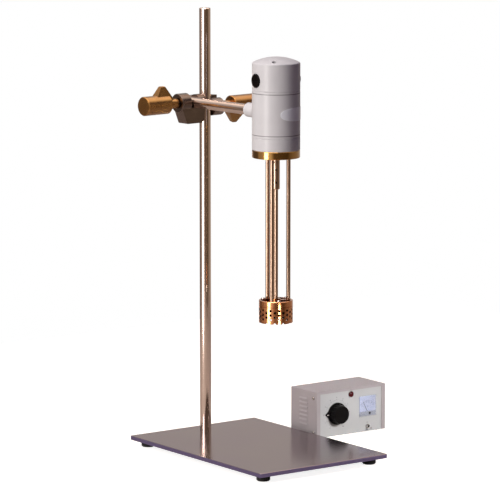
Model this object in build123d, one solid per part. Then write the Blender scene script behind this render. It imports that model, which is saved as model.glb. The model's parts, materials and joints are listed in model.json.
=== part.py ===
from build123d import *

import os
from math import cos, radians, sin, sqrt

# High shear mixer: a drive head with a rotor and stator, held on a stand by an arm and a
# boss head, with a separate speed controller. Lengths are in millimetres, angles in degrees.
# While the pieces are made, the stand rod's axis is at X = Y = 0 and the bench is at Z = 0.
# The front is -Y. The last lines move the origin under the middle of the whole outfit.

# Fits and gaps shared by all pieces
slide_clearance = 0.1
running_clearance = 0.05
seat_clearance = 0.1
thread_clearance = 0.05
tip_gap = 0.3
edge_break = 0.6

# Stand
plate_width = 300.0
plate_depth = 430.0
plate_thickness = 8.0
plate_corner = 2.0
rod_diameter = 22.0
rod_height = 832.0
rod_back_inset = 43.0
rod_chamfer = 1.0
spigot_diameter = 16.0
spigot_run_out = 0.5
rod_nut_across = 24.0
rod_nut_height = 8.0
rod_nut_flange_diameter = 30.0
rod_nut_flange_height = 2.0
foot_diameter = 26.0
foot_height = 12.0
foot_round = 3.0
foot_inset = 25.0
foot_recess_diameter = 12.0
foot_recess_depth = 5.5
foot_screw_diameter = 5.0
foot_screw_head_diameter = 9.0
foot_screw_head_height = 3.0
foot_screw_grip = 6.0

# Boss head, at the height of the arm and swung about the rod
arm_height = 671.6
arm_swing = 5.0
arm_diameter = 20.0
arm_offset = 36.5
arm_tail = 30.0
arm_chamfer = 1.0
boss_diameter = 37.0
middle_boss_diameter = 29.0
rod_boss_diameter = 34.0
boss_chamfer = 1.2
arm_boss_length = 22.3
rod_boss_length = 25.4
screw_relief = 1.5
hook_depth = 40.0
hook_width = 26.0
hook_forward = 2.5
hook_round = 3.0
hook_taper = 8.0
hook_outer_taper = 12.5
rod_screw_drop = 13.0
rod_hook_height = 30.0

# Clamp screws and their knobs
clamp_screw_diameter = 12.0
clamp_point_diameter = 8.0
clamp_point_length = 2.0
clamp_screw_grip = 15.0
knob_diameter = 37.0
knob_length = 59.0
knob_chamfer = 1.5
knob_hub_diameter = 20.0
knob_hub_length = 22.0
arm_screw_showing = 3.1
rod_screw_showing = 4.7
rod_knob_turn = 10.7
fin_height = 17.0
fin_root_length = 32.0
fin_tip_length = 9.0
fin_root_thickness = 16.0
fin_tip_thickness = 8.0
fin_from_hub = 13.0
fin_round = 1.5

# Drive head: heights are measured from the arm's axis, up the motor's axis
motor_reach = 249.4
motor_diameter = 91.0
motor_wall = 4.0
cap_height = 51.8
cap_crown = 11.0
cap_round = 3.0
cap_inner_height = 44.0
housing_top = 43.9
housing_height = 88.3
collar_height = 24.3
flange_thickness = 14.8
register_height = 5.0
register_wall = 3.0
seam_chamfer = 0.9
neck_length = 34.0
neck_diameter = 27.4
neck_root_diameter = 36.0
neck_flare = 12.0
neck_socket_depth = 28.0
set_screw_diameter = 6.0
set_screw_inset = 12.0

# Through bolts from the crown to the flange
bolt_circle_diameter = 72.0
bolt_angle = -47.0
bolt_diameter = 4.0
bolt_head_diameter = 8.0
bolt_head_height = 3.0
bolt_sink = 3.4
bolt_grip = 8.0

# Shaft line
motor_shaft_diameter = 10.0
core_shaft_diameter = 14.0
bearing_outer = 26.0
bearing_width = 8.0
bearing_race_wall = 2.2
bearing_shield = 0.8
bearing_drop_in_cap = 19.0
bearing_hub_diameter = 34.0
shaft_stub = 1.5
shaft_tail = 31.5
mixing_shaft_diameter = 8.0
coupling_diameter = 14.2
coupling_length = 60.4
coupling_gap = 0.5
coupling_round = 2.0
coupling_screw_diameter = 4.0
coupling_screw_depths = (8.0, 22.5, 47.0)
coupling_screw_angles = (-76.0, -40.0, -39.0)

# Motor inside
core_length = 50.0
core_fit = 0.1
armature_diameter = 48.0
air_gap = 0.7
armature_slots = 12
slot_width = 3.0
slot_depth = 7.0
winding_overhang = 12.0
winding_diameter = 42.0
commutator_diameter = 22.0
commutator_length = 16.0
commutator_slit = 0.6
fan_diameter = 66.0
fan_height = 12.0
fan_blades = 9
fan_blade_thickness = 1.6
fan_drop = 38.5
pole_turn = 43.0
coil_thickness = 6.0
coil_width = 9.0
coil_inner_half = 15.0
coil_radius = 27.0
coil_clearance = 0.5

# Brush gear
brush_height = 63.5
brush_angle = -98.6
brush_width = 6.0
brush_depth = 8.0
brush_length = 14.0
brush_gap = 0.2
brush_holder_diameter = 16.0
brush_chamber_diameter = 12.0
brush_cap_diameter = 26.0
brush_cap_thickness = 3.0
brush_flat_depth = 1.2
brush_flat_margin = 1.6
brush_plug_length = 4.0
spring_wire = 0.9
spring_turns = 3
gland_angle = 150.0
gland_height = 66.0
gland_diameter = 15.0
gland_length = 14.0
gland_bore = 7.0

# Mixing head, hung from the flange on three rods
support_rod_diameter = 8.0
support_circle_diameter = 48.0
support_angle = 60.0
support_length = 272.1
support_grip = 10.0
head_diameter = 64.4
head_ring_height = 11.2
head_ring_wall = 3.6
web_thickness = 5.0
lobe_diameter = 15.0
arm_web_width = 9.0
hub_diameter = 19.0
hub_height = 15.0
stator_height = 31.5
stator_wall = 3.0
stator_step = 3.0
stator_columns = 24
stator_hole_diameter = 5.2
stator_hole_sides = 12
stator_hole_pitch = 8.6
long_row_first = 5.6
short_row_first = 9.9
head_screw_diameter = 4.0
head_screw_head_diameter = 7.0
head_screw_head_height = 2.6
head_screw_circle_diameter = 51.0
head_screw_turn = 30.0
head_screw_grip = 6.0
bush_diameter = 13.0
bush_flange_diameter = 16.0
bush_flange_height = 1.5
rotor_gap = 0.4
rotor_blades = 4
rotor_blade_thickness = 3.0
rotor_height = 17.0
rotor_hub_diameter = 17.0
rotor_lean = 18.0
rotor_drop = 6.5
rotor_nut_across = 11.0
rotor_nut_height = 5.0

# Controller: measured from its lower front left corner
controller_x = 177.5
controller_y = -127.6
controller_width = 171.0
controller_depth = 84.0
controller_height = 92.0
sheet = 1.2
frame_side = 9.0
frame_top = 5.0
panel_thickness = 2.0
panel_recess = 1.5
pad_diameter = 14.0
pad_height = 2.0
pad_inset = 14.0
louvre_count = 7
louvre_pitch = 8.5
louvre_first = 22.5
louvre_length = 26.0
louvre_from_front = 30.0
louvre_opening = 2.4
louvre_rise = 2.0
case_screw_diameter = 4.0
case_screw_head_diameter = 7.0
case_screw_head_height = 1.8
case_screw_length = 7.0
case_screw_from_front = 10.5
case_screw_heights = (10.0, 79.0)
tab_depth = 16.0
tab_height = 14.0

# Pieces on the controller's front
dial_u = 50.3
dial_v = 44.3
speed_knob_diameter = 44.0
speed_skirt_thickness = 3.5
speed_grip_diameter = 38.0
speed_grip_top_diameter = 35.0
speed_grip_length = 15.0
speed_flutes = 12
speed_flute_radius = 2.0
speed_nose_length = 5.5
speed_nose_width = 15.0
speed_gap = 0.5
regulator_shaft_diameter = 6.0
regulator_bush_diameter = 10.0
regulator_bush_length = 4.0
regulator_diameter = 58.0
regulator_length = 40.0
regulator_shaft_grip = 12.0
lamp_u = 85.7
lamp_v = 79.3
lamp_bezel_diameter = 13.4
lamp_bezel_thickness = 1.2
lamp_lens_diameter = 12.4
lamp_wall = 0.6
lamp_lens_height = 2.4
lamp_body_length = 20.0
meter_u = 127.2
meter_v = 51.3
meter_side = 42.0
meter_cover_depth = 4.0
meter_cover_wall = 1.2
meter_base_thickness = 0.8
meter_body_diameter = 36.0
meter_body_length = 28.0
meter_pivot_drop = 13.0
needle_length = 25.0
needle_width = 0.8
needle_hub_diameter = 5.0
needle_thickness = 0.5
needle_hub_rise = 0.4
needle_rest = -27.0
toggle_u = 127.2
toggle_v = 10.2
toggle_bush_diameter = 6.0
toggle_bush_length = 5.0
toggle_nut_across = 8.0
toggle_nut_height = 2.0
toggle_body_width = 8.0
toggle_body_height = 13.0
toggle_body_depth = 12.0
toggle_bat_length = 11.0
toggle_bat_diameter = 2.2
toggle_tip_diameter = 3.4
toggle_ball_diameter = 3.2
toggle_ball_width = 1.6
toggle_tilt = 12.5

# Pieces on the controller's back
socket_u = 42.0
socket_v = 45.0
socket_plate_side = 26.0
socket_ring_diameter = 20.0
socket_mouth_diameter = 14.0
socket_mouth_depth = 9.0
socket_standoff = 8.0
fuse_u = 128.0
fuse_v = 60.0
fuse_diameter = 14.0
fuse_length = 9.0
inlet_u = 128.0
inlet_v = 28.0

# Heights and places that follow from the values above
plate_top = foot_height + plate_thickness
plate_middle_y = rod_back_inset - plate_depth / 2
rod_radius = rod_diameter / 2
arm_radius = arm_diameter / 2
rod_seat = rod_radius + seat_clearance
arm_seat = arm_radius + seat_clearance
arm_channel_far = arm_offset + arm_seat + screw_relief
arm_boss_face = arm_channel_far + arm_boss_length
rod_boss_face = rod_seat + screw_relief + rod_boss_length
motor_radius = motor_diameter / 2
bore_radius = motor_radius - motor_wall
housing_bottom = housing_top - housing_height
collar_bottom = housing_bottom - collar_height
flange_bottom = collar_bottom - flange_thickness
cap_top = housing_top + cap_height
crown_radius = (motor_radius**2 + cap_crown**2) / (2 * cap_crown)
register_radius = bore_radius - slide_clearance
neck_face = motor_radius + neck_length
upper_bearing = cap_top - bearing_drop_in_cap
lower_bearing = collar_bottom - bearing_width / 2
shaft_radius = motor_shaft_diameter / 2
core_shaft_radius = core_shaft_diameter / 2
shaft_bottom = flange_bottom - shaft_tail
head_top = flange_bottom - support_length
stator_top = head_top - head_ring_height
stator_bottom = stator_top - stator_height
stator_bore = head_diameter / 2 - stator_wall
rotor_top = stator_bottom + rotor_drop + rotor_nut_height / 2 + rotor_height
mixing_radius = mixing_shaft_diameter / 2
coupling_top = flange_bottom - coupling_gap
coupling_bottom = coupling_top - coupling_length

clamp_frame = Location((0, 0, arm_height), (0, 0, arm_swing - 90))
head_frame = clamp_frame * Location((motor_reach, -arm_offset, 0))
controller_frame = Location((controller_x, controller_y, pad_height))

BOTTOM = (Align.CENTER, Align.CENTER, Align.MIN)
ALONG_X = Rot(0, 90, 0)
ALONG_Y = Rot(-90, 0, 0)
AGAINST_Y = Rot(90, 0, 0)


def rod(radius, low, high):
    """A cylinder on the Z axis between two heights."""
    return Pos(0, 0, low) * Cylinder(radius, high - low, align=BOTTOM)


def ring(outer, inner, low, high):
    """A tube on the Z axis between two heights."""
    return rod(outer, low, high) - rod(inner, low - 1, high + 1)


def block(x0, x1, y0, y1, z0, z1):
    """A box between two corners."""
    return Pos((x0 + x1) / 2, (y0 + y1) / 2, (z0 + z1) / 2) * Box(x1 - x0, y1 - y0, z1 - z0)


def top_edges(solid):
    """The edges round the highest flat face."""
    return solid.faces().sort_by(Axis.Z)[-1].edges()


def bottom_edges(solid):
    """The edges round the lowest flat face."""
    return solid.faces().sort_by(Axis.Z)[0].edges()


def outer_circles(solid, radius):
    """The circular edges of a solid that are wider than a radius."""
    return solid.edges().filter_by(GeomType.CIRCLE).filter_by(lambda edge: edge.radius > radius)


def hexagon(across, low, high):
    """A hexagonal prism for nuts and glands."""
    return Pos(0, 0, low) * extrude(RegularPolygon(across / 2, 6, major_radius=False), high - low)


def around(shape, angles, radius=0.0):
    """Copies of a shape at these angles about Z, each moved out by a radius."""
    return [Rot(0, 0, angle) * Pos(radius, 0, 0) * shape for angle in angles]


def pitch(count, start=0.0):
    """Evenly spaced angles round a circle."""
    return [start + 360.0 * index / count for index in range(count)]


def base_plate():
    """Flat steel plate with a hole for the rod's spigot and four tapped holes for the feet."""
    plate = Box(plate_width, plate_depth, plate_thickness, align=BOTTOM)
    plate = Pos(0, plate_middle_y, foot_height) * plate
    plate = fillet(plate.edges().filter_by(Axis.Z), plate_corner)
    plate = chamfer(plate.faces().sort_by(Axis.Z)[-1].edges(), edge_break)
    plate -= rod(spigot_diameter / 2 + seat_clearance, foot_height - 1, plate_top + 1)
    tapped_top = foot_height + foot_screw_grip + 0.5
    tapped = rod(foot_screw_diameter / 2 + thread_clearance, foot_height - 1, tapped_top)
    for place in foot_places():
        plate -= place * tapped
    return plate


def foot_places():
    """Where the four feet stand, at the corners of the plate."""
    x = plate_width / 2 - foot_inset
    y = plate_depth / 2 - foot_inset
    return [Pos(sx * x, plate_middle_y + sy * y, 0) for sx in (-1, 1) for sy in (-1, 1)]


def rubber_foot():
    """Round rubber foot with a rounded tread and a recess for its screw's head."""
    foot = rod(foot_diameter / 2, 0, foot_height)
    foot = chamfer(bottom_edges(foot), foot_round * 0.6)
    foot -= rod(foot_recess_diameter / 2, -1, foot_recess_depth)
    return foot - rod(foot_screw_diameter / 2 + seat_clearance, 0, foot_height + 1)


def foot_screw():
    """Pan-head screw that holds a foot, its head up inside the recess."""
    head = rod(foot_screw_head_diameter / 2, foot_recess_depth - foot_screw_head_height, foot_recess_depth)
    head = chamfer(bottom_edges(head), foot_screw_head_height / 3)
    return head + rod(foot_screw_diameter / 2, foot_recess_depth, foot_height + foot_screw_grip)


def stand_rod():
    """Long bright rod with a turned spigot that passes through the plate."""
    body = rod(rod_radius, plate_top, plate_top + rod_height)
    body = chamfer(top_edges(body), rod_chamfer)
    return body + rod(spigot_diameter / 2, foot_height - rod_nut_height - spigot_run_out, plate_top)


def rod_nut():
    """Flanged nut under the plate that pulls the rod's shoulder down."""
    low = foot_height - rod_nut_height
    flange = rod(rod_nut_flange_diameter / 2, foot_height - rod_nut_flange_height, foot_height)
    body = hexagon(rod_nut_across, low, foot_height - rod_nut_flange_height) + flange
    return body - rod(spigot_diameter / 2 + thread_clearance, low - 1, foot_height + 1)


def hook_profile(inner, outer, depth):
    """Outline of a hook's web: a trapezoid from its root to its narrower outer side."""
    low_corners = [(-inner - hook_taper, -depth), (-outer + hook_outer_taper, -depth)]
    face = make_face(Polyline((-outer, 0), (-inner, 0), *low_corners, close=True))
    return fillet(face.vertices().sort_by(Axis.Y)[:2], hook_round)


def boss_head():
    """Right-angle boss head: one hook for the upright rod, one for the level arm."""
    boss = boss_diameter / 2
    middle = middle_boss_diameter / 2
    beyond = 3 * boss
    reach_up = boss + 5
    arm_boss = chamfer(bottom_edges(rod(boss, 0, arm_boss_length)), boss_chamfer)
    body = Pos(0, -arm_boss_face, 0) * ALONG_Y * arm_boss
    web_start = arm_offset - arm_seat
    body += Pos(0, -web_start, 0) * ALONG_Y * rod(middle, 0, web_start - rod_seat)
    rod_boss = chamfer(top_edges(rod(rod_boss_diameter / 2, 0, rod_boss_length)), boss_chamfer)
    body += Pos(0, rod_boss_face - rod_boss_length, -rod_screw_drop) * ALONG_Y * rod_boss
    # The arm's hook passes under the arm, and the rod's hook passes behind the rod
    under = extrude(hook_profile(rod_seat, arm_boss_face, hook_depth - boss / 2), hook_width)
    body += Pos(hook_forward - hook_width / 2, 0, -boss / 2) * Rot(0, 0, 90) * Rot(90, 0, 0) * under
    behind = extrude(hook_profile(-rod_boss_face, web_start, hook_depth - boss / 2), rod_hook_height)
    behind_low = -(rod_screw_drop + rod_hook_height) / 2
    body += Pos(-boss / 2, 0, behind_low) * Rot(0, 0, -90) * mirror(behind, Plane.YZ)
    # Channels, open upwards for the arm and forwards for the rod
    arm_axis = Pos(-3 * hook_width, -arm_offset, 0) * ALONG_X
    body -= arm_axis * rod(arm_seat, 0, 6 * hook_width)
    body -= block(-beyond, beyond, -arm_channel_far, -web_start, 0, reach_up)
    body -= rod(rod_seat, -2 * hook_depth, reach_up)
    body -= block(0, beyond, -rod_seat, rod_seat + screw_relief, -2 * hook_depth, reach_up)
    body -= block(-rod_radius / 2, 1, 0, rod_seat + screw_relief, -2 * hook_depth, reach_up)
    # Threaded holes for the two clamp screws
    hole = rod(clamp_screw_diameter / 2 + slide_clearance, -2, 2 * rod_boss_length)
    body -= Pos(0, -arm_channel_far + 1, 0) * AGAINST_Y * hole
    body -= Pos(0, rod_seat, -rod_screw_drop) * ALONG_Y * hole
    return body


def clamp_knob():
    """Brass knob with a hub and one tapered fin, on the Z axis with its hub's end at zero."""
    length = knob_hub_length + knob_length
    knob = rod(knob_diameter / 2, knob_hub_length, length)
    knob = chamfer(knob.edges().filter_by(GeomType.CIRCLE), knob_chamfer)
    knob += rod(knob_hub_diameter / 2, 0, knob_hub_length + 1)
    # The fin's four flanks keep their slope down to its root inside the knob
    root = knob_hub_diameter / 2 - 1
    share = (knob_diameter / 2 - root) / fin_height
    root_length = fin_root_length + share * (fin_root_length - fin_tip_length)
    root_thickness = fin_root_thickness + share * (fin_root_thickness - fin_tip_thickness)
    middle = knob_hub_length + fin_from_hub
    low = Plane((root, 0, middle), x_dir=(0, 1, 0), z_dir=(1, 0, 0))
    high = Plane((knob_diameter / 2 + fin_height, 0, middle), x_dir=(0, 1, 0), z_dir=(1, 0, 0))
    root_outline = low * Rectangle(root_thickness, root_length)
    fin = loft([root_outline, high * Rectangle(fin_tip_thickness, fin_tip_length)])
    fin = chamfer(fin.faces().sort_by(Axis.X)[-1].edges(), fin_round * 0.7)
    knob += fin
    return knob - rod(clamp_screw_diameter / 2 + thread_clearance, -1, clamp_screw_grip + 0.5)


def clamp_screw(length):
    """Clamp screw on the Z axis: its point is at zero and its other end sits in the knob."""
    point = chamfer(bottom_edges(rod(clamp_point_diameter / 2, 0, clamp_point_length)), edge_break)
    body = chamfer(bottom_edges(rod(clamp_screw_diameter / 2, clamp_point_length, length)), 1.0)
    return point + body


def arm_clamp():
    """Knob and screw that press the arm into its hook, pointing to the left."""
    point = arm_offset + arm_radius + tip_gap
    hub = arm_boss_face + arm_screw_showing
    knob = Pos(0, -hub, 0) * AGAINST_Y * Rot(0, 0, 90) * clamp_knob()
    screw = Pos(0, -point, 0) * AGAINST_Y * clamp_screw(hub + clamp_screw_grip - point)
    return knob, screw


def rod_clamp():
    """Knob and screw that press the rod into its hook, pointing to the right, fin down."""
    point = rod_radius + tip_gap
    hub = rod_boss_face + rod_screw_showing
    knob = Pos(0, hub, -rod_screw_drop) * ALONG_Y * Rot(0, 0, 90 + rod_knob_turn) * clamp_knob()
    screw = Pos(0, point, -rod_screw_drop) * ALONG_Y * clamp_screw(hub + clamp_screw_grip - point)
    return knob, screw


def arm_bar():
    """Round arm from behind the boss head to the socket in the motor housing's neck."""
    start = -arm_tail
    end = motor_reach - neck_face + neck_socket_depth
    bar = rod(arm_radius, start, end)
    bar = chamfer(bar.edges().filter_by(GeomType.CIRCLE), arm_chamfer)
    return Pos(0, -arm_offset, 0) * ALONG_X * bar


def crown_height(radius):
    """Height of the cap's domed top at a distance from the motor's axis."""
    return cap_top + cap_crown - (crown_radius - sqrt(crown_radius**2 - radius**2))


def bolt_angles():
    """Directions of the two through bolts."""
    return pitch(2, bolt_angle)


def brush_directions():
    """Directions of the two brushes."""
    return pitch(2, brush_angle)


def top_cap():
    """Domed cover that holds the upper bearing and both brush holders."""
    top = cap_top + cap_crown
    half = motor_radius / 2
    dome = ThreePointArc((0, top), (half, crown_height(half)), (motor_radius, cap_top))
    walls = Polyline((motor_radius, cap_top), (motor_radius, housing_top), (0, housing_top), (0, top))
    outline = make_face([dome, walls])
    rim = outline.vertices().sort_by_distance((motor_radius, cap_top))[0]
    cap = revolve(Plane.XZ * fillet(rim, cap_round), Axis.Z)
    cap = chamfer(cap.edges().filter_by(GeomType.CIRCLE).sort_by(Axis.Z)[0], seam_chamfer)
    cap -= rod(bore_radius, housing_top - 1, housing_top + cap_inner_height)
    cap += ring(bore_radius + 1, register_radius - register_wall, housing_top, housing_top + register_height)
    spigot = ring(register_radius, register_radius - register_wall, -register_height, 1)
    cap += Pos(0, 0, housing_top) * spigot
    low = upper_bearing - bearing_width / 2
    cap += rod(bearing_hub_diameter / 2, low, housing_top + cap_inner_height + 1)
    cap -= rod(bearing_outer / 2 + running_clearance, low - 1, low + bearing_width)
    cap -= rod(core_shaft_radius + 1, low, low + bearing_width + shaft_stub + 1)
    port = rod(brush_holder_diameter / 2 + seat_clearance, 0, motor_radius + 5)
    port = Pos(0, 0, brush_height) * ALONG_X * port
    flat = motor_radius - brush_flat_depth
    face = rod(brush_cap_diameter / 2 + brush_flat_margin, flat, motor_radius + 5)
    face = Pos(0, 0, brush_height) * ALONG_X * face
    for direction in brush_directions():
        cap -= Rot(0, 0, direction) * port
        cap -= Rot(0, 0, direction) * face
    spot = crown_height(bolt_circle_diameter / 2) - bolt_sink - bolt_head_height / 2
    hole = rod(bolt_diameter / 2 + slide_clearance, 0, 2 * cap_top)
    hole += rod(bolt_head_diameter / 2 + 0.4, spot, 2 * cap_top)
    for copy in around(hole, bolt_angles(), bolt_circle_diameter / 2):
        cap -= copy
    gland = Pos(0, 0, gland_height) * ALONG_X * rod(gland_bore / 2 + 1.5, bore_radius - 4, motor_radius + 5)
    return cap - Rot(0, 0, gland_angle) * gland


def motor_housing():
    """Painted tube round the motor, cast in one with the neck that takes the arm."""
    body = ring(motor_radius, bore_radius, housing_bottom, housing_top)
    body = chamfer(outer_circles(body, bore_radius + 1), seam_chamfer)
    neck = rod(neck_diameter / 2, 0, neck_length + motor_wall)
    neck = chamfer(bottom_edges(neck), edge_break)
    neck += Pos(0, 0, neck_length - neck_flare) * Cone(
        neck_diameter / 2, neck_root_diameter / 2, neck_flare + motor_wall, align=BOTTOM
    )
    neck = Pos(-neck_face, 0, 0) * ALONG_X * neck
    body += neck - rod(bore_radius, -neck_root_diameter, neck_root_diameter)
    socket = rod(arm_radius + running_clearance, -1, neck_socket_depth + tip_gap)
    body -= Pos(-neck_face, 0, 0) * ALONG_X * socket
    screw_hole = rod(set_screw_diameter / 2 + thread_clearance, -neck_diameter, 0)
    return body - Pos(-neck_face + set_screw_inset, 0, 0) * screw_hole


def arm_set_screw():
    """Socket set screw under the neck that locks the arm."""
    low = -neck_diameter / 2 + 0.2
    high = -arm_radius - tip_gap
    screw = rod(set_screw_diameter / 2, low, high)
    screw -= Pos(0, 0, low - 1) * extrude(RegularPolygon(set_screw_diameter / 4, 6), 2.5)
    return Pos(-neck_face + set_screw_inset, 0, 0) * screw


def lower_collar():
    """Short painted ring between the motor housing and the brass flange."""
    body = ring(motor_radius, bore_radius, collar_bottom, housing_bottom)
    body = chamfer(outer_circles(body, bore_radius + 1), seam_chamfer)
    inner = register_radius - register_wall
    body += ring(bore_radius + 1, inner, housing_bottom - register_height, housing_bottom)
    return body + ring(register_radius, inner, housing_bottom - 1, housing_bottom + register_height)


def support_angles():
    """Directions of the three support rods."""
    return pitch(3, support_angle)


def brass_flange():
    """Turned brass flange: lower bearing seat, and sockets for the three support rods."""
    body = rod(motor_radius, flange_bottom, collar_bottom)
    body = chamfer(body.edges().filter_by(GeomType.CIRCLE), seam_chamfer)
    body += rod(register_radius, collar_bottom - 1, collar_bottom + register_height)
    seat = lower_bearing - bearing_width / 2
    body -= rod(bearing_outer / 2 + running_clearance, seat, collar_bottom + register_height + 1)
    body -= rod(shaft_radius + 0.5, flange_bottom - 1, seat + 1)
    socket_top = flange_bottom + support_grip + 0.2
    socket = rod(support_rod_diameter / 2 + thread_clearance, flange_bottom - 1, socket_top)
    for copy in around(socket, support_angles(), support_circle_diameter / 2):
        body -= copy
    top = collar_bottom + register_height
    tapped = rod(bolt_diameter / 2 + thread_clearance, top - bolt_grip - 0.5, top + 1)
    for copy in around(tapped, bolt_angles(), bolt_circle_diameter / 2):
        body -= copy
    return body


def through_bolts():
    """Two long bolts from the crown down into the flange, heads sunk in the crown."""
    spot = crown_height(bolt_circle_diameter / 2) - bolt_sink - bolt_head_height / 2
    head = chamfer(top_edges(rod(bolt_head_diameter / 2, spot, spot + bolt_head_height)), edge_break)
    bolt = head + rod(bolt_diameter / 2, collar_bottom + register_height - bolt_grip, spot)
    return around(bolt, bolt_angles(), bolt_circle_diameter / 2)


def bearing_outer_rings():
    """Outer races of the two ball bearings, each with its shields."""
    rings = []
    for middle in (upper_bearing, lower_bearing):
        low, high = middle - bearing_width / 2, middle + bearing_width / 2
        race = ring(bearing_outer / 2, bearing_outer / 2 - bearing_race_wall, low, high)
        gap = shaft_radius + bearing_race_wall + 0.4
        race += ring(bearing_outer / 2 - 1, gap, middle - bearing_shield, middle + bearing_shield)
        rings.append(race)
    return rings


def bearing_inner_rings():
    """Inner races of the two ball bearings, which turn with the shaft."""
    outer = shaft_radius + bearing_race_wall
    inner = shaft_radius + 0.02
    half = bearing_width / 2
    return [ring(outer, inner, at - half, at + half) for at in (upper_bearing, lower_bearing)]


def motor_shaft():
    """Stepped motor shaft, thick through the core and thin in the bearings and coupling."""
    shaft = rod(shaft_radius, shaft_bottom, upper_bearing + bearing_width / 2 + shaft_stub)
    half = bearing_width / 2
    return shaft + rod(core_shaft_radius, lower_bearing + half, upper_bearing - half)


def armature_core():
    """Slotted stack of the armature."""
    core = ring(armature_diameter / 2, core_shaft_radius + 0.02, -core_length / 2, core_length / 2)
    edge = armature_diameter / 2
    slot = block(edge - slot_depth, edge + 1, -slot_width / 2, slot_width / 2, -core_length, core_length)
    for copy in around(slot, pitch(armature_slots)):
        core -= copy
    return core


def armature_windings():
    """Armature winding: bars in the slots and rounded end turns beyond the core."""
    half = core_length / 2
    edge = armature_diameter / 2
    inner = core_shaft_radius + 1
    lap = rod(winding_diameter / 2, half + 0.1, half + winding_overhang)
    lap = chamfer(top_edges(lap), 3.0) - rod(inner, 0, 2 * half + winding_overhang)
    body = lap + mirror(lap, Plane.XY)
    width = slot_width / 2 - 0.1
    bar = block(edge - slot_depth + 0.1, edge - 1.5, -width, width, -half - 2, half + 2)
    bar &= rod(winding_diameter / 2 + 2, -half - 2, half + 2)
    for copy in around(bar, pitch(armature_slots)):
        body += copy
    return body


def commutator():
    """Segmented copper commutator under the brushes."""
    low, high = brush_height - commutator_length / 2, brush_height + commutator_length / 2
    body = ring(commutator_diameter / 2, core_shaft_radius + 0.02, low, high)
    edge = commutator_diameter / 2
    slit = block(edge - 1.5, edge + 1, -commutator_slit / 2, commutator_slit / 2, low - 1, high + 1)
    for copy in around(slit, pitch(armature_slots)):
        body -= copy
    return body


def cooling_fan():
    """Radial fan below the core."""
    high = -fan_drop
    low = high - fan_height
    body = ring(core_shaft_radius + 5, core_shaft_radius + 0.02, low, high)
    body += ring(fan_diameter / 2, core_shaft_radius + 4, high - fan_blade_thickness, high)
    reach = fan_diameter / 2 - 1
    half = fan_blade_thickness / 2
    blade = block(core_shaft_radius + 4, reach, -half, half, low + 1, high - fan_blade_thickness / 2)
    for copy in around(blade, pitch(fan_blades)):
        body += copy
    return body


def field_core():
    """Two-pole lamination stack with windows for the field coils and bores for the bolts."""
    half = core_length / 2
    core = ring(bore_radius - core_fit, armature_diameter / 2 + air_gap, -half, half)
    inner = coil_inner_half - coil_clearance
    outer = coil_inner_half + coil_width + coil_clearance
    near = coil_radius - coil_clearance
    far = coil_radius + coil_thickness + coil_clearance
    for sx in (-1, 1):
        for sy in (-1, 1):
            window = block(near, far, inner, outer, -half - 1, half + 1)
            window = mirror(window, Plane.YZ) if sx < 0 else window
            core -= mirror(window, Plane.XZ) if sy < 0 else window
    core = Rot(0, 0, pole_turn) * core
    bore = rod(bolt_diameter / 2 + 0.2, -half - 1, half + 1)
    for copy in around(bore, bolt_angles(), bolt_circle_diameter / 2):
        core -= copy
    return core


def field_coils():
    """Two field coils, each wound round a pole and passing through its windows."""
    half = core_length / 2
    inner, outer = coil_inner_half, coil_inner_half + coil_width
    far = coil_radius + coil_thickness
    top = half + coil_clearance
    coil = block(coil_radius, far, -outer, outer, -top - coil_width, top + coil_width)
    coil = chamfer(coil.edges().filter_by(Axis.X), 3.0)
    coil -= block(coil_radius - 1, far + 1, -inner, inner, -top, top)
    return [Rot(0, 0, pole_turn) * coil, Rot(0, 0, pole_turn + 180) * coil]


def brush_parts():
    """Brush gear along +X: holder, carbon brush, spring and screwed cap."""
    flat = motor_radius - brush_flat_depth
    start = commutator_diameter / 2 + brush_gap
    brush_end = start + brush_length
    holder = rod(brush_holder_diameter / 2, start + 3, flat)
    channel = Pos(0, 0, start) * Box(brush_width + 0.2, brush_depth + 0.2, brush_length + 4, align=BOTTOM)
    holder -= channel
    holder -= rod(brush_chamber_diameter / 2, brush_end, flat + 1)
    brush = Pos(0, 0, start) * Box(brush_width, brush_depth, brush_length, align=BOTTOM)
    plug_end = flat - brush_plug_length
    cap = rod(brush_cap_diameter / 2, flat, flat + brush_cap_thickness)
    cap = chamfer(top_edges(cap), edge_break)
    slot = Box(2, brush_cap_diameter * 0.6, 2, align=BOTTOM)
    slot = Pos(0, 0, flat + brush_cap_thickness - 1) * slot
    cap = cap - slot + rod(brush_chamber_diameter / 2 - 0.1, plug_end, flat)
    length = plug_end - brush_end - spring_wire - 0.3
    radius = brush_width / 2 + 0.6
    path = Helix(length / spring_turns, length, radius)
    wire = Plane(path @ 0, z_dir=path % 0) * Rectangle(spring_wire, spring_wire)
    spring = Pos(0, 0, brush_end + spring_wire / 2 + 0.1) * sweep(wire, path, is_frenet=True)
    return holder, brush, spring, cap


def in_both_brush_ports(shape):
    """The shape turned on its side and put in both brush ports."""
    lying = Pos(0, 0, brush_height) * ALONG_X * shape
    return around(lying, brush_directions())


def cable_gland():
    """Black gland at the back of the cap, where the motor's lead comes out."""
    body = rod(gland_bore / 2 + 1.4, -4.5, 1)
    body += hexagon(gland_diameter, 0.5, 5)
    cone = Pos(0, 0, 4.5) * Cone(gland_diameter / 2 - 1, gland_bore / 2 + 1.6, gland_length - 4.5, align=BOTTOM)
    body = body + cone - rod(gland_bore / 2, -6, gland_length + 1)
    return Rot(0, 0, gland_angle) * Pos(motor_radius, 0, gland_height) * ALONG_X * body


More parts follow.
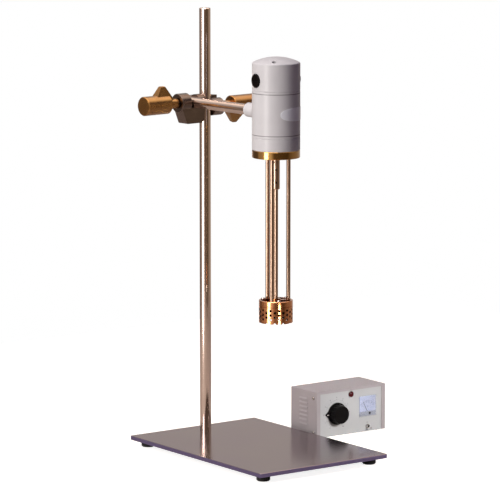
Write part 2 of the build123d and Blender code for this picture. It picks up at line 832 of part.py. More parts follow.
def coupling_sleeve():
    """Sleeve that joins the motor shaft to the mixing shaft, with tapped screw holes."""
    body = rod(coupling_diameter / 2, coupling_bottom, coupling_top)
    body = chamfer(bottom_edges(body), coupling_round * 0.7)
    body -= rod(shaft_radius + 0.02, shaft_bottom - 0.2, coupling_top + 1)
    body -= rod(mixing_radius + 0.02, coupling_bottom - 1, shaft_bottom)
    hole = ALONG_X * rod(coupling_screw_diameter / 2 + thread_clearance, 0, coupling_diameter)
    for depth, angle in zip(coupling_screw_depths, coupling_screw_angles):
        body -= Rot(0, 0, angle) * Pos(0, 0, coupling_top - depth) * hole
    return body


def coupling_screws():
    """Socket set screws in the coupling sleeve."""
    screws = []
    for depth, angle in zip(coupling_screw_depths, coupling_screw_angles):
        height = coupling_top - depth
        seat = shaft_radius if height > shaft_bottom else mixing_radius
        end = coupling_diameter / 2 - 0.3
        screw = rod(coupling_screw_diameter / 2, seat + 0.04, end)
        screw -= Pos(0, 0, end - 1) * extrude(RegularPolygon(coupling_screw_diameter / 4, 6), 2)
        screws.append(Rot(0, 0, angle) * Pos(0, 0, height) * ALONG_X * screw)
    return screws


def mixing_shaft():
    """Slender shaft from the coupling down to the rotor."""
    return rod(mixing_radius, stator_bottom + rotor_drop, shaft_bottom - 0.3)


def support_rods():
    """Three rods that carry the mixing head."""
    low = head_top - head_ring_height + 1.5
    return around(
        rod(support_rod_diameter / 2, low, flange_bottom + support_grip),
        support_angles(),
        support_circle_diameter / 2,
    )


def head_screw_angles():
    """Directions of the screws that hold the stator to the spider."""
    return pitch(3, support_angle + head_screw_turn)


def head_spider():
    """Open top of the mixing head: ring, three rod lobes, webs and the bush's hub."""
    outer = head_diameter / 2
    inner = outer - head_ring_wall
    body = ring(outer, inner, stator_top, head_top)
    body = chamfer(outer_circles(body, inner + 1), edge_break)
    low = head_top - web_thickness
    lobe = rod(lobe_diameter / 2, stator_top, head_top)
    for copy in around(lobe, support_angles(), support_circle_diameter / 2):
        body += copy & rod(outer - 0.5, stator_top, head_top)
    pad = rod(head_screw_head_diameter / 2 + 1, stator_top, head_top)
    for copy in around(pad, head_screw_angles(), head_screw_circle_diameter / 2):
        body += copy & rod(outer - 0.5, stator_top, head_top)
    web = block(0, inner + 1, -arm_web_width / 2, arm_web_width / 2, low, head_top)
    for copy in around(web, support_angles()):
        body += copy
    body += rod(hub_diameter / 2, head_top - hub_height, head_top + 1.5)
    body -= rod(bush_diameter / 2 + 0.02, head_top - hub_height - 1, head_top + 3)
    socket = rod(support_rod_diameter / 2 + thread_clearance, stator_top + 1, head_top + 1)
    for copy in around(socket, support_angles(), support_circle_diameter / 2):
        body -= copy
    tapped = rod(head_screw_diameter / 2 + thread_clearance, stator_top - 1, head_top + 1)
    for copy in around(tapped, head_screw_angles(), head_screw_circle_diameter / 2):
        body -= copy
    return body


def shaft_bush():
    """Flanged plain bush that steadies the mixing shaft in the spider's hub."""
    low = head_top - hub_height
    body = rod(bush_diameter / 2, low, head_top + 1.5)
    body += rod(bush_flange_diameter / 2, head_top + 1.5, head_top + 1.5 + bush_flange_height)
    return body - rod(mixing_radius + running_clearance, low - 1, head_top + 5)


def stator():
    """Perforated stator: columns of three and two round holes and a scalloped lower edge."""
    outer = head_diameter / 2
    body = ring(outer, stator_bore, stator_bottom, stator_top)
    inner_step = head_diameter / 2 - head_ring_wall - 0.1
    body += ring(stator_bore + 1, inner_step - 2.2, stator_top - stator_step, stator_top)
    body += ring(inner_step, inner_step - 2.2, stator_top - 1, stator_top + 2.0)
    lug = rod(head_screw_diameter / 2 + 2, stator_top - stator_step, stator_top)
    for copy in around(lug, head_screw_angles(), head_screw_circle_diameter / 2):
        body += copy
    # The three lugs and the three rod lobes above share the ring's inner side
    lobe = rod(lobe_diameter / 2 + 0.3, stator_top, stator_top + 5)
    for copy in around(lobe, support_angles(), support_circle_diameter / 2):
        body -= copy
    pad = rod(head_screw_head_diameter / 2 + 1.3, stator_top, stator_top + 5)
    for copy in around(pad, head_screw_angles(), head_screw_circle_diameter / 2):
        body -= copy
    hole = extrude(RegularPolygon(stator_hole_diameter / 2, stator_hole_sides), outer + 2)
    hole = ALONG_X * (hole - rod(stator_hole_diameter, -1, stator_bore - 2))
    holes = []
    for index, angle in enumerate(pitch(stator_columns)):
        rows = 3 if index % 2 == 0 else 2
        first = long_row_first if rows == 3 else short_row_first
        depths = [first + row * stator_hole_pitch for row in range(rows)]
        if rows == 2:
            depths.append(stator_height)
        holes += [Rot(0, 0, angle) * Pos(0, 0, stator_top - depth) * hole for depth in depths]
    body -= holes
    tapped = rod(head_screw_diameter / 2 + thread_clearance, stator_top - stator_step - 1, stator_top + 1)
    for copy in around(tapped, head_screw_angles(), head_screw_circle_diameter / 2):
        body -= copy
    return body


def stator_screws():
    """Pan-head screws that hold the stator up against the spider."""
    high = head_top + head_screw_head_height
    head = chamfer(top_edges(rod(head_screw_head_diameter / 2, head_top, high)), 0.7)
    screw = head + rod(head_screw_diameter / 2, stator_top - stator_step, head_top)
    return around(screw, head_screw_angles(), head_screw_circle_diameter / 2)


def rotor():
    """Four-blade rotor that turns close inside the stator."""
    low = rotor_top - rotor_height
    reach = stator_bore - rotor_gap
    body = rod(rotor_hub_diameter / 2, low, rotor_top)
    half = rotor_blade_thickness / 2
    blade = block(0, reach + 5, -half, half, low + 1, rotor_top - 1)
    lean = rotor_hub_diameter / 2 - half
    blade = Pos(0, lean, 0) * Rot(0, 0, -rotor_lean) * blade
    for copy in around(blade, pitch(rotor_blades)):
        body += copy
    body &= rod(reach, low, rotor_top)
    return body - rod(mixing_radius + 0.02, low - 1, rotor_top + 1)


def rotor_nut():
    """Nut under the rotor on the end of the mixing shaft."""
    high = rotor_top - rotor_height
    body = hexagon(rotor_nut_across, high - rotor_nut_height, high)
    return body - rod(mixing_radius + 0.02, high - rotor_nut_height - 1, high + 1)


def cover_side():
    """Cut-outs and hoods of one side's louvres, in the plane X = 0, facing -X."""
    start = louvre_from_front
    slots, hoods = [], []
    for index in range(louvre_count):
        z = louvre_first + index * louvre_pitch
        slots.append(block(-1, sheet + 1, start, start + louvre_length, z, z + louvre_opening))
        rise = louvre_opening + 2.2
        outer_side = [(sheet * 0.6, z + rise), (-louvre_rise, z + 0.4), (-louvre_rise, z)]
        hood = Plane.XZ * make_face(Polyline(*outer_side, (sheet * 0.6, z + rise - 1.6), close=True))
        hoods.append(Pos(0, start, 0) * extrude(hood, -louvre_length))
    return slots, hoods


def controller_cover():
    """Folded sheet cover: top, two louvred sides and the narrow frame round the front."""
    w, d, h = controller_width, controller_depth, controller_height
    body = block(0, w, 0, d, 0, h)
    body = fillet(body.edges().filter_by(Axis.Y).filter_by(lambda e: e.center().Z > h / 2), 1.5)
    body -= block(sheet, w - sheet, sheet, d + 1, -1, h - sheet)
    body -= block(frame_side, w - frame_side, -1, sheet + 1, -1, h - frame_top)
    slots, hoods = cover_side()
    middle = Plane((w / 2, 0, 0), z_dir=(1, 0, 0))
    for slot in slots:
        body = body - slot - mirror(slot, middle)
    for hood in hoods:
        body = body + hood + mirror(hood, middle)
    for screw in case_screw_places():
        body -= screw * rod(case_screw_diameter / 2 + seat_clearance, -5, 5)
    return body


def case_screw_places():
    """Where the cover's four screws enter, two on each side."""
    places = []
    for z in case_screw_heights:
        places.append(Pos(0, case_screw_from_front, z) * Rot(0, 90, 0))
        places.append(Pos(controller_width, case_screw_from_front, z) * Rot(0, -90, 0))
    return places


def controller_chassis():
    """Folded sheet chassis: floor, back wall and four tabs for the cover's screws."""
    gap = 0.2
    x0, x1 = sheet + gap, controller_width - sheet - gap
    front = panel_recess + panel_thickness + gap
    back = controller_depth
    high = controller_height - sheet - gap
    body = block(x0, x1, front, back, 0, sheet) + block(x0, x1, back - sheet, back, 0, high)
    half = tab_height / 2
    for z in case_screw_heights:
        for side in (x0, x1 - sheet):
            body += block(side, side + sheet, front, front + tab_depth, z - half, z + half)
    # The upper tabs hang on a strip down each side, folded up from the floor
    for side in (x0, x1 - sheet):
        strip_top = case_screw_heights[-1] + half
        body += block(side, side + sheet, front, front + tab_depth / 2, 0, strip_top)
    body &= block(0, controller_width, 0, back, 0, high)
    for screw in case_screw_places():
        body -= screw * rod(case_screw_diameter / 2 + thread_clearance, -5, 10)
    hole = AGAINST_Y * rod(socket_ring_diameter / 2 + 0.2, -3, 3)
    body -= Pos(socket_u, back, socket_v) * hole
    small = AGAINST_Y * rod(fuse_diameter / 2 - 1.3, -3, 3)
    body -= Pos(fuse_u, back, fuse_v) * small
    body -= Pos(inlet_u, back, inlet_v) * (AGAINST_Y * rod(gland_bore / 2 + 1.5, -3, 3))
    for place in pad_places():
        body -= place * rod(1.6, -3, 3)
    return body


def pad_places():
    """Where the four rubber pads sit under the floor."""
    xs = (pad_inset, controller_width - pad_inset)
    ys = (pad_inset, controller_depth - pad_inset)
    return [Pos(x, y, 0) for x in xs for y in ys]


def controller_pads():
    """Thin rubber pads with a stem that snaps into the floor."""
    pad = rod(pad_diameter / 2, -pad_height, 0)
    pad = chamfer(bottom_edges(pad), pad_height / 3)
    pad += rod(1.5, -0.5, sheet + 0.8)
    return [place * pad for place in pad_places()]


def front_panel():
    """Flat front panel with the cut-outs for its knob, lamp, meter and switch."""
    gap = 0.2
    y0, y1 = panel_recess, panel_recess + panel_thickness
    top = controller_height - sheet - gap
    panel = block(sheet + gap, controller_width - sheet - gap, y0, y1, 0, top)
    for u, v, radius in (
        (dial_u, dial_v, regulator_bush_diameter / 2 + seat_clearance),
        (lamp_u, lamp_v, lamp_lens_diameter / 2 + seat_clearance),
        (meter_u, meter_v, meter_body_diameter / 2 + seat_clearance),
        (toggle_u, toggle_v, toggle_bush_diameter / 2 + seat_clearance),
    ):
        panel -= Pos(u, 0, v) * (AGAINST_Y * rod(radius, -y1 - 1, 1 - y0))
    return panel


def cover_screws():
    """Pan-head screws in the cover's sides."""
    head = rod(case_screw_head_diameter / 2, -case_screw_head_height, 0)
    head = chamfer(bottom_edges(head), case_screw_head_height / 2)
    slot = Box(0.9, case_screw_head_diameter * 0.7, 1.9, align=BOTTOM)
    head -= Pos(0, 0, -case_screw_head_height - 1) * slot
    screw = head + rod(case_screw_diameter / 2, 0, case_screw_length)
    return [place * screw for place in case_screw_places()]


def on_panel(u, v, shape):
    """A shape built on the Z axis, put on the panel's front so that +Z points outwards."""
    return Pos(u, panel_recess, v) * AGAINST_Y * shape


def on_back(u, v, shape):
    """A shape built on the Z axis, put on the back wall so that +Z points outwards."""
    return Pos(u, controller_depth, v) * ALONG_Y * shape


def regulator_body():
    """Speed regulator behind the panel, with its bush through the panel."""
    body = rod(regulator_diameter / 2, -panel_thickness - regulator_length, -panel_thickness)
    body = chamfer(bottom_edges(body), 2.0)
    body += rod(regulator_bush_diameter / 2, -panel_thickness - 1, regulator_bush_length)
    body += hexagon(regulator_bush_diameter + 4, 0, 2.4)
    low = -panel_thickness - regulator_shaft_grip
    body -= rod(regulator_shaft_diameter / 2 + running_clearance, low - tip_gap, regulator_bush_length + 1)
    return body


def regulator_shaft():
    """Shaft of the regulator, which carries the knob."""
    low = -panel_thickness - regulator_shaft_grip
    high = regulator_bush_length + speed_gap + speed_grip_length * 0.7
    return chamfer(top_edges(rod(regulator_shaft_diameter / 2, low, high)), 0.5)


def speed_knob():
    """Fluted black knob with a skirt and one pointed nose."""
    low = speed_gap
    body = rod(speed_knob_diameter / 2, low, low + speed_skirt_thickness)
    tip = speed_knob_diameter / 2 + speed_nose_length
    root = speed_knob_diameter / 2 * 0.9
    half = speed_nose_width / 2
    nose = make_face(Polyline((-root, -half), (-tip, -1.2), (-tip, 1.2), (-root, half), close=True))
    body += Pos(0, 0, low) * extrude(nose, speed_skirt_thickness)
    body = chamfer(top_edges(body), edge_break)
    base = low + speed_skirt_thickness
    grip = Pos(0, 0, base) * Cone(
        speed_grip_diameter / 2, speed_grip_top_diameter / 2, speed_grip_length, align=BOTTOM
    )
    grip = chamfer(top_edges(grip), 1.0)
    flute = rod(speed_flute_radius, base + 0.5, base + speed_grip_length + 1)
    reach = speed_grip_diameter / 2 + speed_flute_radius * 0.35
    for copy in around(flute, pitch(speed_flutes), reach):
        grip -= copy
    body += grip
    recess = rod(regulator_bush_diameter / 2 + 3.6, low - 1, regulator_bush_length + speed_gap)
    high = regulator_bush_length + speed_gap + speed_grip_length * 0.7
    return body - recess - rod(regulator_shaft_diameter / 2 + 0.02, 0, high + 0.2)


def lamp_bezel():
    """Chromed ring and body of the signal lamp."""
    body = rod(lamp_bezel_diameter / 2, 0, lamp_bezel_thickness)
    body = chamfer(top_edges(body), lamp_bezel_thickness / 3)
    body += rod(lamp_lens_diameter / 2, -panel_thickness - lamp_body_length, 0)
    return body - rod(lamp_lens_diameter / 2 - lamp_wall, -panel_thickness, lamp_bezel_thickness + 1)


def lamp_lens():
    """Domed red lens seated in the bezel."""
    radius = lamp_lens_diameter / 2 - lamp_wall - running_clearance
    body = rod(radius, -panel_thickness + 0.02, lamp_bezel_thickness + lamp_lens_height)
    return chamfer(top_edges(body), lamp_lens_height * 0.5, lamp_lens_height)


def meter_case():
    """Meter movement's round body behind the panel and the white plate in front of it."""
    half = meter_side / 2 - meter_cover_wall - 0.1
    body = block(-half, half, -half, half, 0, meter_base_thickness)
    body += rod(meter_body_diameter / 2, -panel_thickness - meter_body_length, 0.5)
    return body


def meter_glass():
    """Clear square cover over the meter's dial."""
    half = meter_side / 2
    body = block(-half, half, -half, half, 0, meter_cover_depth)
    body = chamfer(top_edges(body), 0.8)
    inner = half - meter_cover_wall
    return body - block(-inner, inner, -inner, inner, -1, meter_cover_depth - meter_cover_wall)


def meter_needle():
    """Thin pointer on a round hub just in front of the dial."""
    low = meter_base_thickness + tip_gap
    body = rod(needle_hub_diameter / 2, low, low + needle_thickness + needle_hub_rise)
    tail, half = needle_width, needle_width / 2
    point = [(-half / 2, needle_length), (half / 2, needle_length)]
    pointer = make_face(Polyline((-tail, 0), *point, (tail, 0), close=True))
    body += Pos(0, 0, low) * extrude(pointer, needle_thickness)
    return Pos(0, -meter_pivot_drop, 0) * Rot(0, 0, -needle_rest) * body


def toggle_body():
    """Toggle switch: box behind the panel, threaded bush and nut."""
    depth = -panel_thickness - toggle_body_depth
    half, tall = toggle_body_width / 2, toggle_body_height / 2
    body = block(-half, half, -tall, tall, depth, -panel_thickness)
    body += rod(toggle_bush_diameter / 2, -panel_thickness - 1, toggle_bush_length)
    body += hexagon(toggle_nut_across, 0, toggle_nut_height)
    mouth = toggle_bush_diameter / 2 - 0.6
    throat = toggle_ball_diameter / 2 + 0.3
    flare = Cone(throat, mouth, toggle_bush_length - toggle_nut_height, align=BOTTOM)
    body -= Pos(0, 0, toggle_nut_height) * flare
    return body - rod(throat, -1, toggle_bush_length)


def toggle_bat():
    """Bright lever of the toggle switch, with a ball at its pivot and a thicker tip."""
    low = toggle_pivot_height()
    half = toggle_ball_width / 2
    body = Pos(0, 0, low) * ALONG_X * rod(toggle_ball_diameter / 2, -half, half)
    body += Pos(0, 0, low) * Cone(
        toggle_bat_diameter / 2 * 0.8, toggle_tip_diameter / 2, toggle_bat_length, align=BOTTOM
    )
    tip_radius = toggle_tip_diameter / 2
    tip = Pos(0, 0, low) * rod(tip_radius, toggle_bat_length - 1, toggle_bat_length + tip_radius)
    body += chamfer(top_edges(tip), toggle_tip_diameter / 4)
    return Pos(0, 0, low) * Rot(toggle_tilt, 0, 0) * Pos(0, 0, -low) * body


def toggle_pivot_height():
    """Height of the toggle's pivot in front of the panel."""
    return toggle_nut_height - 0.4


def output_socket():
    """Round socket on the back for the motor's plug, with a square flange."""
    half = socket_plate_side / 2
    body = block(-half, half, -half, half, 0, 2)
    body = fillet(body.edges().filter_by(Axis.Z), 2.0)
    body += rod(socket_ring_diameter / 2, -10, socket_standoff)
    mouth = socket_standoff - socket_mouth_depth
    return body - rod(socket_mouth_diameter / 2, mouth, socket_standoff + 1)


def fuse_holder():
    """Screwed cap of the fuse holder."""
    body = rod(fuse_diameter / 2, 0, fuse_length)
    body = chamfer(top_edges(body), 1.0)
    body -= Pos(0, 0, fuse_length - 1.2) * Box(1.5, fuse_diameter * 0.7, 2, align=BOTTOM)
    return body + rod(fuse_diameter / 2 - 1.5, -22, 1)


def mains_gland():
    """Gland on the back where the mains lead goes in."""
    body = rod(gland_bore / 2 + 1.4, -5, 1)
    body += hexagon(gland_diameter, 0, 4.5)
    body += Pos(0, 0, 4) * Cone(gland_diameter / 2 - 1, gland_bore / 2 + 1.6, gland_length - 4, align=BOTTOM)
    return body - rod(gland_bore / 2, -6, gland_length + 1)


def placed(frame, shape):
    """One shape, or each of a list of shapes, moved into a frame."""
    shapes = shape if isinstance(shape, list) else [shape]
    return [frame * one for one in shapes]


def assembly():
    """Every node's solids, by name, with the stand rod's axis at X = Y = 0."""
    arm_knob, arm_screw = arm_clamp()
    rod_knob, rod_screw = rod_clamp()
    holder, brush, spring, brush_cap = brush_parts()
    stand = Location((0, 0, 0))
    fronts = {
        "regulator_body": (dial_u, dial_v, regulator_body()),
        "regulator_shaft": (dial_u, dial_v, regulator_shaft()),
        "speed_knob": (dial_u, dial_v, speed_knob()),
        "lamp_bezel": (lamp_u, lamp_v, lamp_bezel()),
        "lamp_lens": (lamp_u, lamp_v, lamp_lens()),
        "meter_case": (meter_u, meter_v, meter_case()),
        "meter_glass": (meter_u, meter_v, meter_glass()),
        "meter_needle": (meter_u, meter_v, meter_needle()),
        "toggle_body": (toggle_u, toggle_v, toggle_body()),
        "toggle_bat": (toggle_u, toggle_v, toggle_bat()),
    }
    backs = {
        "output_socket": (socket_u, socket_v, output_socket()),
        "fuse_holder": (fuse_u, fuse_v, fuse_holder()),
        "mains_gland": (inlet_u, inlet_v, mains_gland()),
    }
    groups = [
        (stand, {
            "base_plate": base_plate(),
            "rubber_feet": [place * rubber_foot() for place in foot_places()],
            "foot_screws": [place * foot_screw() for place in foot_places()],
            "stand_rod": stand_rod(),
            "rod_nut": rod_nut(),
        }),
        (clamp_frame, {
            "boss_head": boss_head(),
            "arm_clamp_knob": arm_knob,
            "arm_clamp_screw": arm_screw,
            "rod_clamp_knob": rod_knob,
            "rod_clamp_screw": rod_screw,
            "arm_bar": arm_bar(),
        }),
        (head_frame, {
            "top_cap": top_cap(),
            "motor_housing": motor_housing(),
            "arm_set_screw": arm_set_screw(),
            "lower_collar": lower_collar(),
            "brass_flange": brass_flange(),
            "through_bolts": through_bolts(),
            "brush_holders": in_both_brush_ports(holder),
            "carbon_brushes": in_both_brush_ports(brush),
            "brush_springs": in_both_brush_ports(spring),
            "brush_caps": in_both_brush_ports(brush_cap),
            "field_core": field_core(),
            "field_coils": field_coils(),
            "bearing_outer_rings": bearing_outer_rings(),
            "cable_gland": cable_gland(),
            "support_rods": support_rods(),
            "head_spider": head_spider(),
            "shaft_bush": shaft_bush(),
            "stator": stator(),
            "stator_screws": stator_screws(),
            "motor_shaft": motor_shaft(),
            "bearing_inner_rings": bearing_inner_rings(),
            "armature_core": armature_core(),
            "armature_windings": armature_windings(),
            "commutator": commutator(),
            "cooling_fan": cooling_fan(),
            "coupling_sleeve": coupling_sleeve(),
            "coupling_screws": coupling_screws(),
            "mixing_shaft": mixing_shaft(),
            "rotor": rotor(),
            "rotor_nut": rotor_nut(),
        }),
        (controller_frame, {
            "controller_chassis": controller_chassis(),
            "controller_cover": controller_cover(),
            "front_panel": front_panel(),
            "controller_pads": controller_pads(),
            "cover_screws": cover_screws(),
        }),
        (controller_frame, {name: on_panel(u, v, shape) for name, (u, v, shape) in fronts.items()}),
        (controller_frame, {name: on_back(u, v, shape) for name, (u, v, shape) in backs.items()}),
    ]
    return {name: placed(frame, shape) for frame, shapes in groups for name, shape in shapes.items()}


nodes = assembly()
every_solid = [solid for shapes in nodes.values() for shape in shapes for solid in shape.solids()]
extent = Compound(children=every_solid)
box = extent.bounding_box()
origin = Vector((box.min.X + box.max.X) / 2, (box.min.Y + box.max.Y) / 2, box.min.Z)

os.makedirs("parts", exist_ok=True)
for name, shapes in nodes.items():
    solids = [Pos(-origin.X, -origin.Y, -origin.Z) * solid for shape in shapes for solid in shape.solids()]
    export_step(solids[0] if len(solids) == 1 else Compound(children=solids), f"parts/{name}.step")
print("nodes", len(nodes), "origin at", tuple(round(value, 4) for value in origin), "size", box.size)
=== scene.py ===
"""High shear mixer on a rod stand, with its speed controller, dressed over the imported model."""

import json
import logging
import math
from collections.abc import Iterable, Sequence
from dataclasses import dataclass, replace
from enum import Enum

import bmesh
import bpy
from mathutils import Matrix, Vector

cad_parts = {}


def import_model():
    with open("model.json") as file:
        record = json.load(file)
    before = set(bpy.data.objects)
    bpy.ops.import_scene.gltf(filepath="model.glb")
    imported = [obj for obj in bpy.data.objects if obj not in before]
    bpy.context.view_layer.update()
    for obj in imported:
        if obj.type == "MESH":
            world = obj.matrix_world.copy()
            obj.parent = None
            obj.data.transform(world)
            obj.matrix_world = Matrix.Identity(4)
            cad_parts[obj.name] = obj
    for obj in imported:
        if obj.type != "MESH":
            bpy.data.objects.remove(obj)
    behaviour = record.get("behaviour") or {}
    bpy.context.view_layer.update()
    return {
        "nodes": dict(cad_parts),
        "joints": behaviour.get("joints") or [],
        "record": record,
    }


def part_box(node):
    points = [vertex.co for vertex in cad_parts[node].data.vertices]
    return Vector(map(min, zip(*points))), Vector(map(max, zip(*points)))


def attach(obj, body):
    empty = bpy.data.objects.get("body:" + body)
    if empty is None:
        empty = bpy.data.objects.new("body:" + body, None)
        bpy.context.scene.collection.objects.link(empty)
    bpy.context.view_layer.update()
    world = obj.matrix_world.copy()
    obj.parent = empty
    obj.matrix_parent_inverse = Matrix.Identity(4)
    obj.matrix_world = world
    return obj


log = logging.getLogger("mixer")

Colour = tuple[float, float, float]
Place = tuple[float, float, float]
Corners = tuple[Vector, Vector]
Stops = Sequence[tuple[float, Colour]]

MM = 0.001
ACROSS = (math.radians(90), 0.0, 0.0)
SOFT_MIDDLE = (0.3, 0.7)
# Painted shade: the dark colour given to the stator's inside, where its hollow lies in shade.
HOLLOW_PAINTED_SHADE: Colour = (26, 14, 8)
# Painted shade: the colour of the dark lines in the seam grooves.
SEAM_PAINTED_SHADE: Colour = (46, 38, 44)
POLISHED_DEPTH = 0.3 * MM


def linear(colour: Colour) -> tuple[float, float, float, float]:
    """A screen colour (0 to 255) as the linear RGBA that a shader takes.

    Args:
        colour: red, green and blue from 0 to 255.

    Returns:
        Linear red, green and blue, and an alpha of one.
    """
    scaled = [value / 255 for value in colour]
    return (*[v / 12.92 if v <= 0.04045 else ((v + 0.055) / 1.055) ** 2.4 for v in scaled], 1.0)


class Wire:
    """An output socket whose sums and products add Math nodes."""

    def __init__(self, graph: "Graph", socket: bpy.types.NodeSocket | None) -> None:
        """Keeps the graph and the socket."""
        self.graph = graph
        self.socket = socket

    def __add__(self, other: "Wire | float") -> "Wire":
        """This value plus another."""
        return self.graph.maths("ADD", self, other)

    def __radd__(self, other: float) -> "Wire":
        """A number plus this value."""
        return self.graph.maths("ADD", other, self)

    def __sub__(self, other: "Wire | float") -> "Wire":
        """This value less another."""
        return self.graph.maths("SUBTRACT", self, other)

    def __rsub__(self, other: float) -> "Wire":
        """A number less this value."""
        return self.graph.maths("SUBTRACT", other, self)

    def __mul__(self, other: "Wire | float") -> "Wire":
        """This value times another."""
        return self.graph.maths("MULTIPLY", self, other)

    def __rmul__(self, other: float) -> "Wire":
        """A number times this value."""
        return self.graph.maths("MULTIPLY", other, self)

    def __abs__(self) -> "Wire":
        """This value without its sign."""
        return self.graph.maths("ABSOLUTE", self, 0.0)

    def ramp(self, stops: Stops) -> "Wire":
        """This value sent through a colour ramp.

        Args:
            stops: places from 0 to 1, each with its linear colour.

        Returns:
            The ramp's colour.
        """
        opaque = [(place, (*colour, 1.0)) for place, colour in stops]
        return self.graph.add("ShaderNodeValToRGB", {"stops": opaque}, {0: self})

    def clamped(
        self, low: float, high: float, to_low: float = 0.0, to_high: float = 1.0
    ) -> "Wire":
        """This value mapped from one range onto another, and held there.

        Args:
            low: value that gives to_low.
            high: value that gives to_high.
            to_low: result at the low end.
            to_high: result at the high end.

        Returns:
            The mapped value.
        """
        ends = {0: self, 1: low, 2: high, 3: to_low, 4: to_high}
        return self.graph.add("ShaderNodeMapRange", {"clamp": True}, ends)


class Graph:
    """The nodes of one material or of the world, built by expressions."""

    def __init__(self, tree: bpy.types.NodeTree) -> None:
        """Empties the tree.

        Args:
            tree: node tree of a material or the world.
        """
        self.tree = tree
        tree.nodes.clear()

    def add(
        self,
        kind: str,
        settings: dict | None = None,
        inputs: dict | None = None,
        output: int | str = 0,
    ) -> Wire:
        """Adds any node.

        Args:
            kind: Blender's name for the node type.
            settings: attributes, set before the sockets; "stops" fills a colour ramp.
            inputs: values or wires by socket name or index.
            output: the output to return.

        Returns:
            The chosen output.
        """
        node = self.tree.nodes.new(kind)
        for name, value in (settings or {}).items():
            if name == "stops":
                ramp = node.color_ramp
                while len(ramp.elements) < len(value):
                    ramp.elements.new(1.0)
                for element, (place, colour) in zip(ramp.elements, value):
                    element.position = place
                    element.color = colour
            else:
                setattr(node, name, value)
        for name, value in (inputs or {}).items():
            if isinstance(value, Wire):
                self.tree.links.new(value.socket, node.inputs[name])
            else:
                node.inputs[name].default_value = value
        return Wire(self, node.outputs[output] if node.outputs else None)

    def maths(self, operation: str, first: Wire | float, second: Wire | float) -> Wire:
        """One Math node on two values."""
        return self.add("ShaderNodeMath", {"operation": operation}, {0: first, 1: second})

    def mix(self, share: Wire | float, first: Wire | tuple, second: Wire | tuple) -> Wire:
        """A mix of two colours.

        Args:
            share: how much of the second colour.
            first: first colour.
            second: second colour.

        Returns:
            The mixed colour.
        """
        settings = {"data_type": "RGBA", "clamp_factor": True}
        return self.add("ShaderNodeMix", settings, {0: share, 6: first, 7: second}, 2)

    def place(self, turn: Sequence[float] = (0, 0, 0), scale: Sequence[float] = (1, 1, 1)) -> Wire:
        """Object coordinates, turned and then scaled.

        Args:
            turn: Euler angles in radians, which take the piece's grain onto Z.
            scale: scale along each turned axis.

        Returns:
            The vector.
        """
        source = self.add("ShaderNodeTexCoord", output="Object")
        turned = self.add("ShaderNodeMapping", {}, {"Vector": source, "Rotation": tuple(turn)})
        settings = {"operation": "MULTIPLY"}
        return self.add("ShaderNodeVectorMath", settings, {0: turned, 1: tuple(scale)})

    def height(self) -> Wire:
        """Height of the point on the object, in metres."""
        place = self.add("ShaderNodeTexCoord", output="Object")
        return self.add("ShaderNodeSeparateXYZ", {}, {"Vector": place}, "Z")

    def upright(self) -> Wire:
        """How far the face looks up or down, from 0 to 1."""
        normal = self.add("ShaderNodeTexCoord", output="Normal")
        return abs(self.add("ShaderNodeSeparateXYZ", {}, {"Vector": normal}, "Z"))

    def from_axis(self, axis: Sequence[float]) -> Wire:
        """Distance of the point from an upright axis, in metres.

        Args:
            axis: where the axis stands, as x and y.

        Returns:
            The distance.
        """
        place = self.add("ShaderNodeTexCoord", output="Object")
        inputs = {0: place, 1: (1, 1, 0), 2: (-axis[0], -axis[1], 0)}
        level = self.add("ShaderNodeVectorMath", {"operation": "MULTIPLY_ADD"}, inputs)
        return self.add("ShaderNodeVectorMath", {"operation": "LENGTH"}, {0: level}, "Value")

    def noise(
        self, vector: Wire, scale: float, detail: float = 3.0, roughness: float = 0.55
    ) -> Wire:
        """Noise from 0 to 1 over a vector."""
        inputs = {"Vector": vector, "Scale": scale, "Detail": detail, "Roughness": roughness}
        return self.add("ShaderNodeTexNoise", {}, inputs)

    def bump(self, height: Wire, depth: float, strength: float = 0.5) -> Wire:
        """A normal bent by a height.

        Args:
            height: height from 0 to 1.
            depth: real depth of that height, in metres.
            strength: share of the effect.

        Returns:
            The normal.
        """
        inputs = {"Height": height, "Distance": depth, "Strength": strength}
        return self.add("ShaderNodeBump", {}, inputs)

    def surface(self, **sockets: Wire | float | tuple) -> None:
        """Adds the principled shader with these sockets and joins it to the output.

        Args:
            **sockets: socket names with underscores for spaces.
        """
        inputs = {name.replace("_", " "): value for name, value in sockets.items()}
        shader = self.add("ShaderNodeBsdfPrincipled", {}, inputs)
        self.add("ShaderNodeOutputMaterial", {}, {"Surface": shader})


class Marks(Enum):
    """A tool's marks on bare metal: the grain's scale on each axis, its detail and roughness."""

    TURNED = ((40, 40, 2600), 2.0, 0.55)
    DRAWN = ((2200, 2200, 24), 2.0, 0.55)
    GROUND = ((60, 1900, 1900), 3.0, 0.55)
    CAST = ((900, 900, 900), 4.0, 0.6)


@dataclass(frozen=True)
class Finish:
    """What all finishes share."""

    name: str
    colour: Colour

    def graph(self) -> tuple[bpy.types.Material, Graph]:
        """Starts a material of this name.

        Returns:
            The material and its empty graph.
        """
        material = bpy.data.materials.new(self.name)
        material.use_nodes = True
        material.diffuse_color = linear(self.colour)
        return material, Graph(material.node_tree)

    def shades(self, share: float) -> tuple[tuple, tuple]:
        """The colour a little darker and a little lighter.

        Args:
            share: the change, as a share of the colour.

        Returns:
            The darker and the lighter linear colour.
        """
        red, green, blue, alpha = linear(self.colour)
        lighter = min(1 + share, 0.98 / max(red, green, blue))
        return tuple((red * k, green * k, blue * k, alpha) for k in (1 - share, lighter))


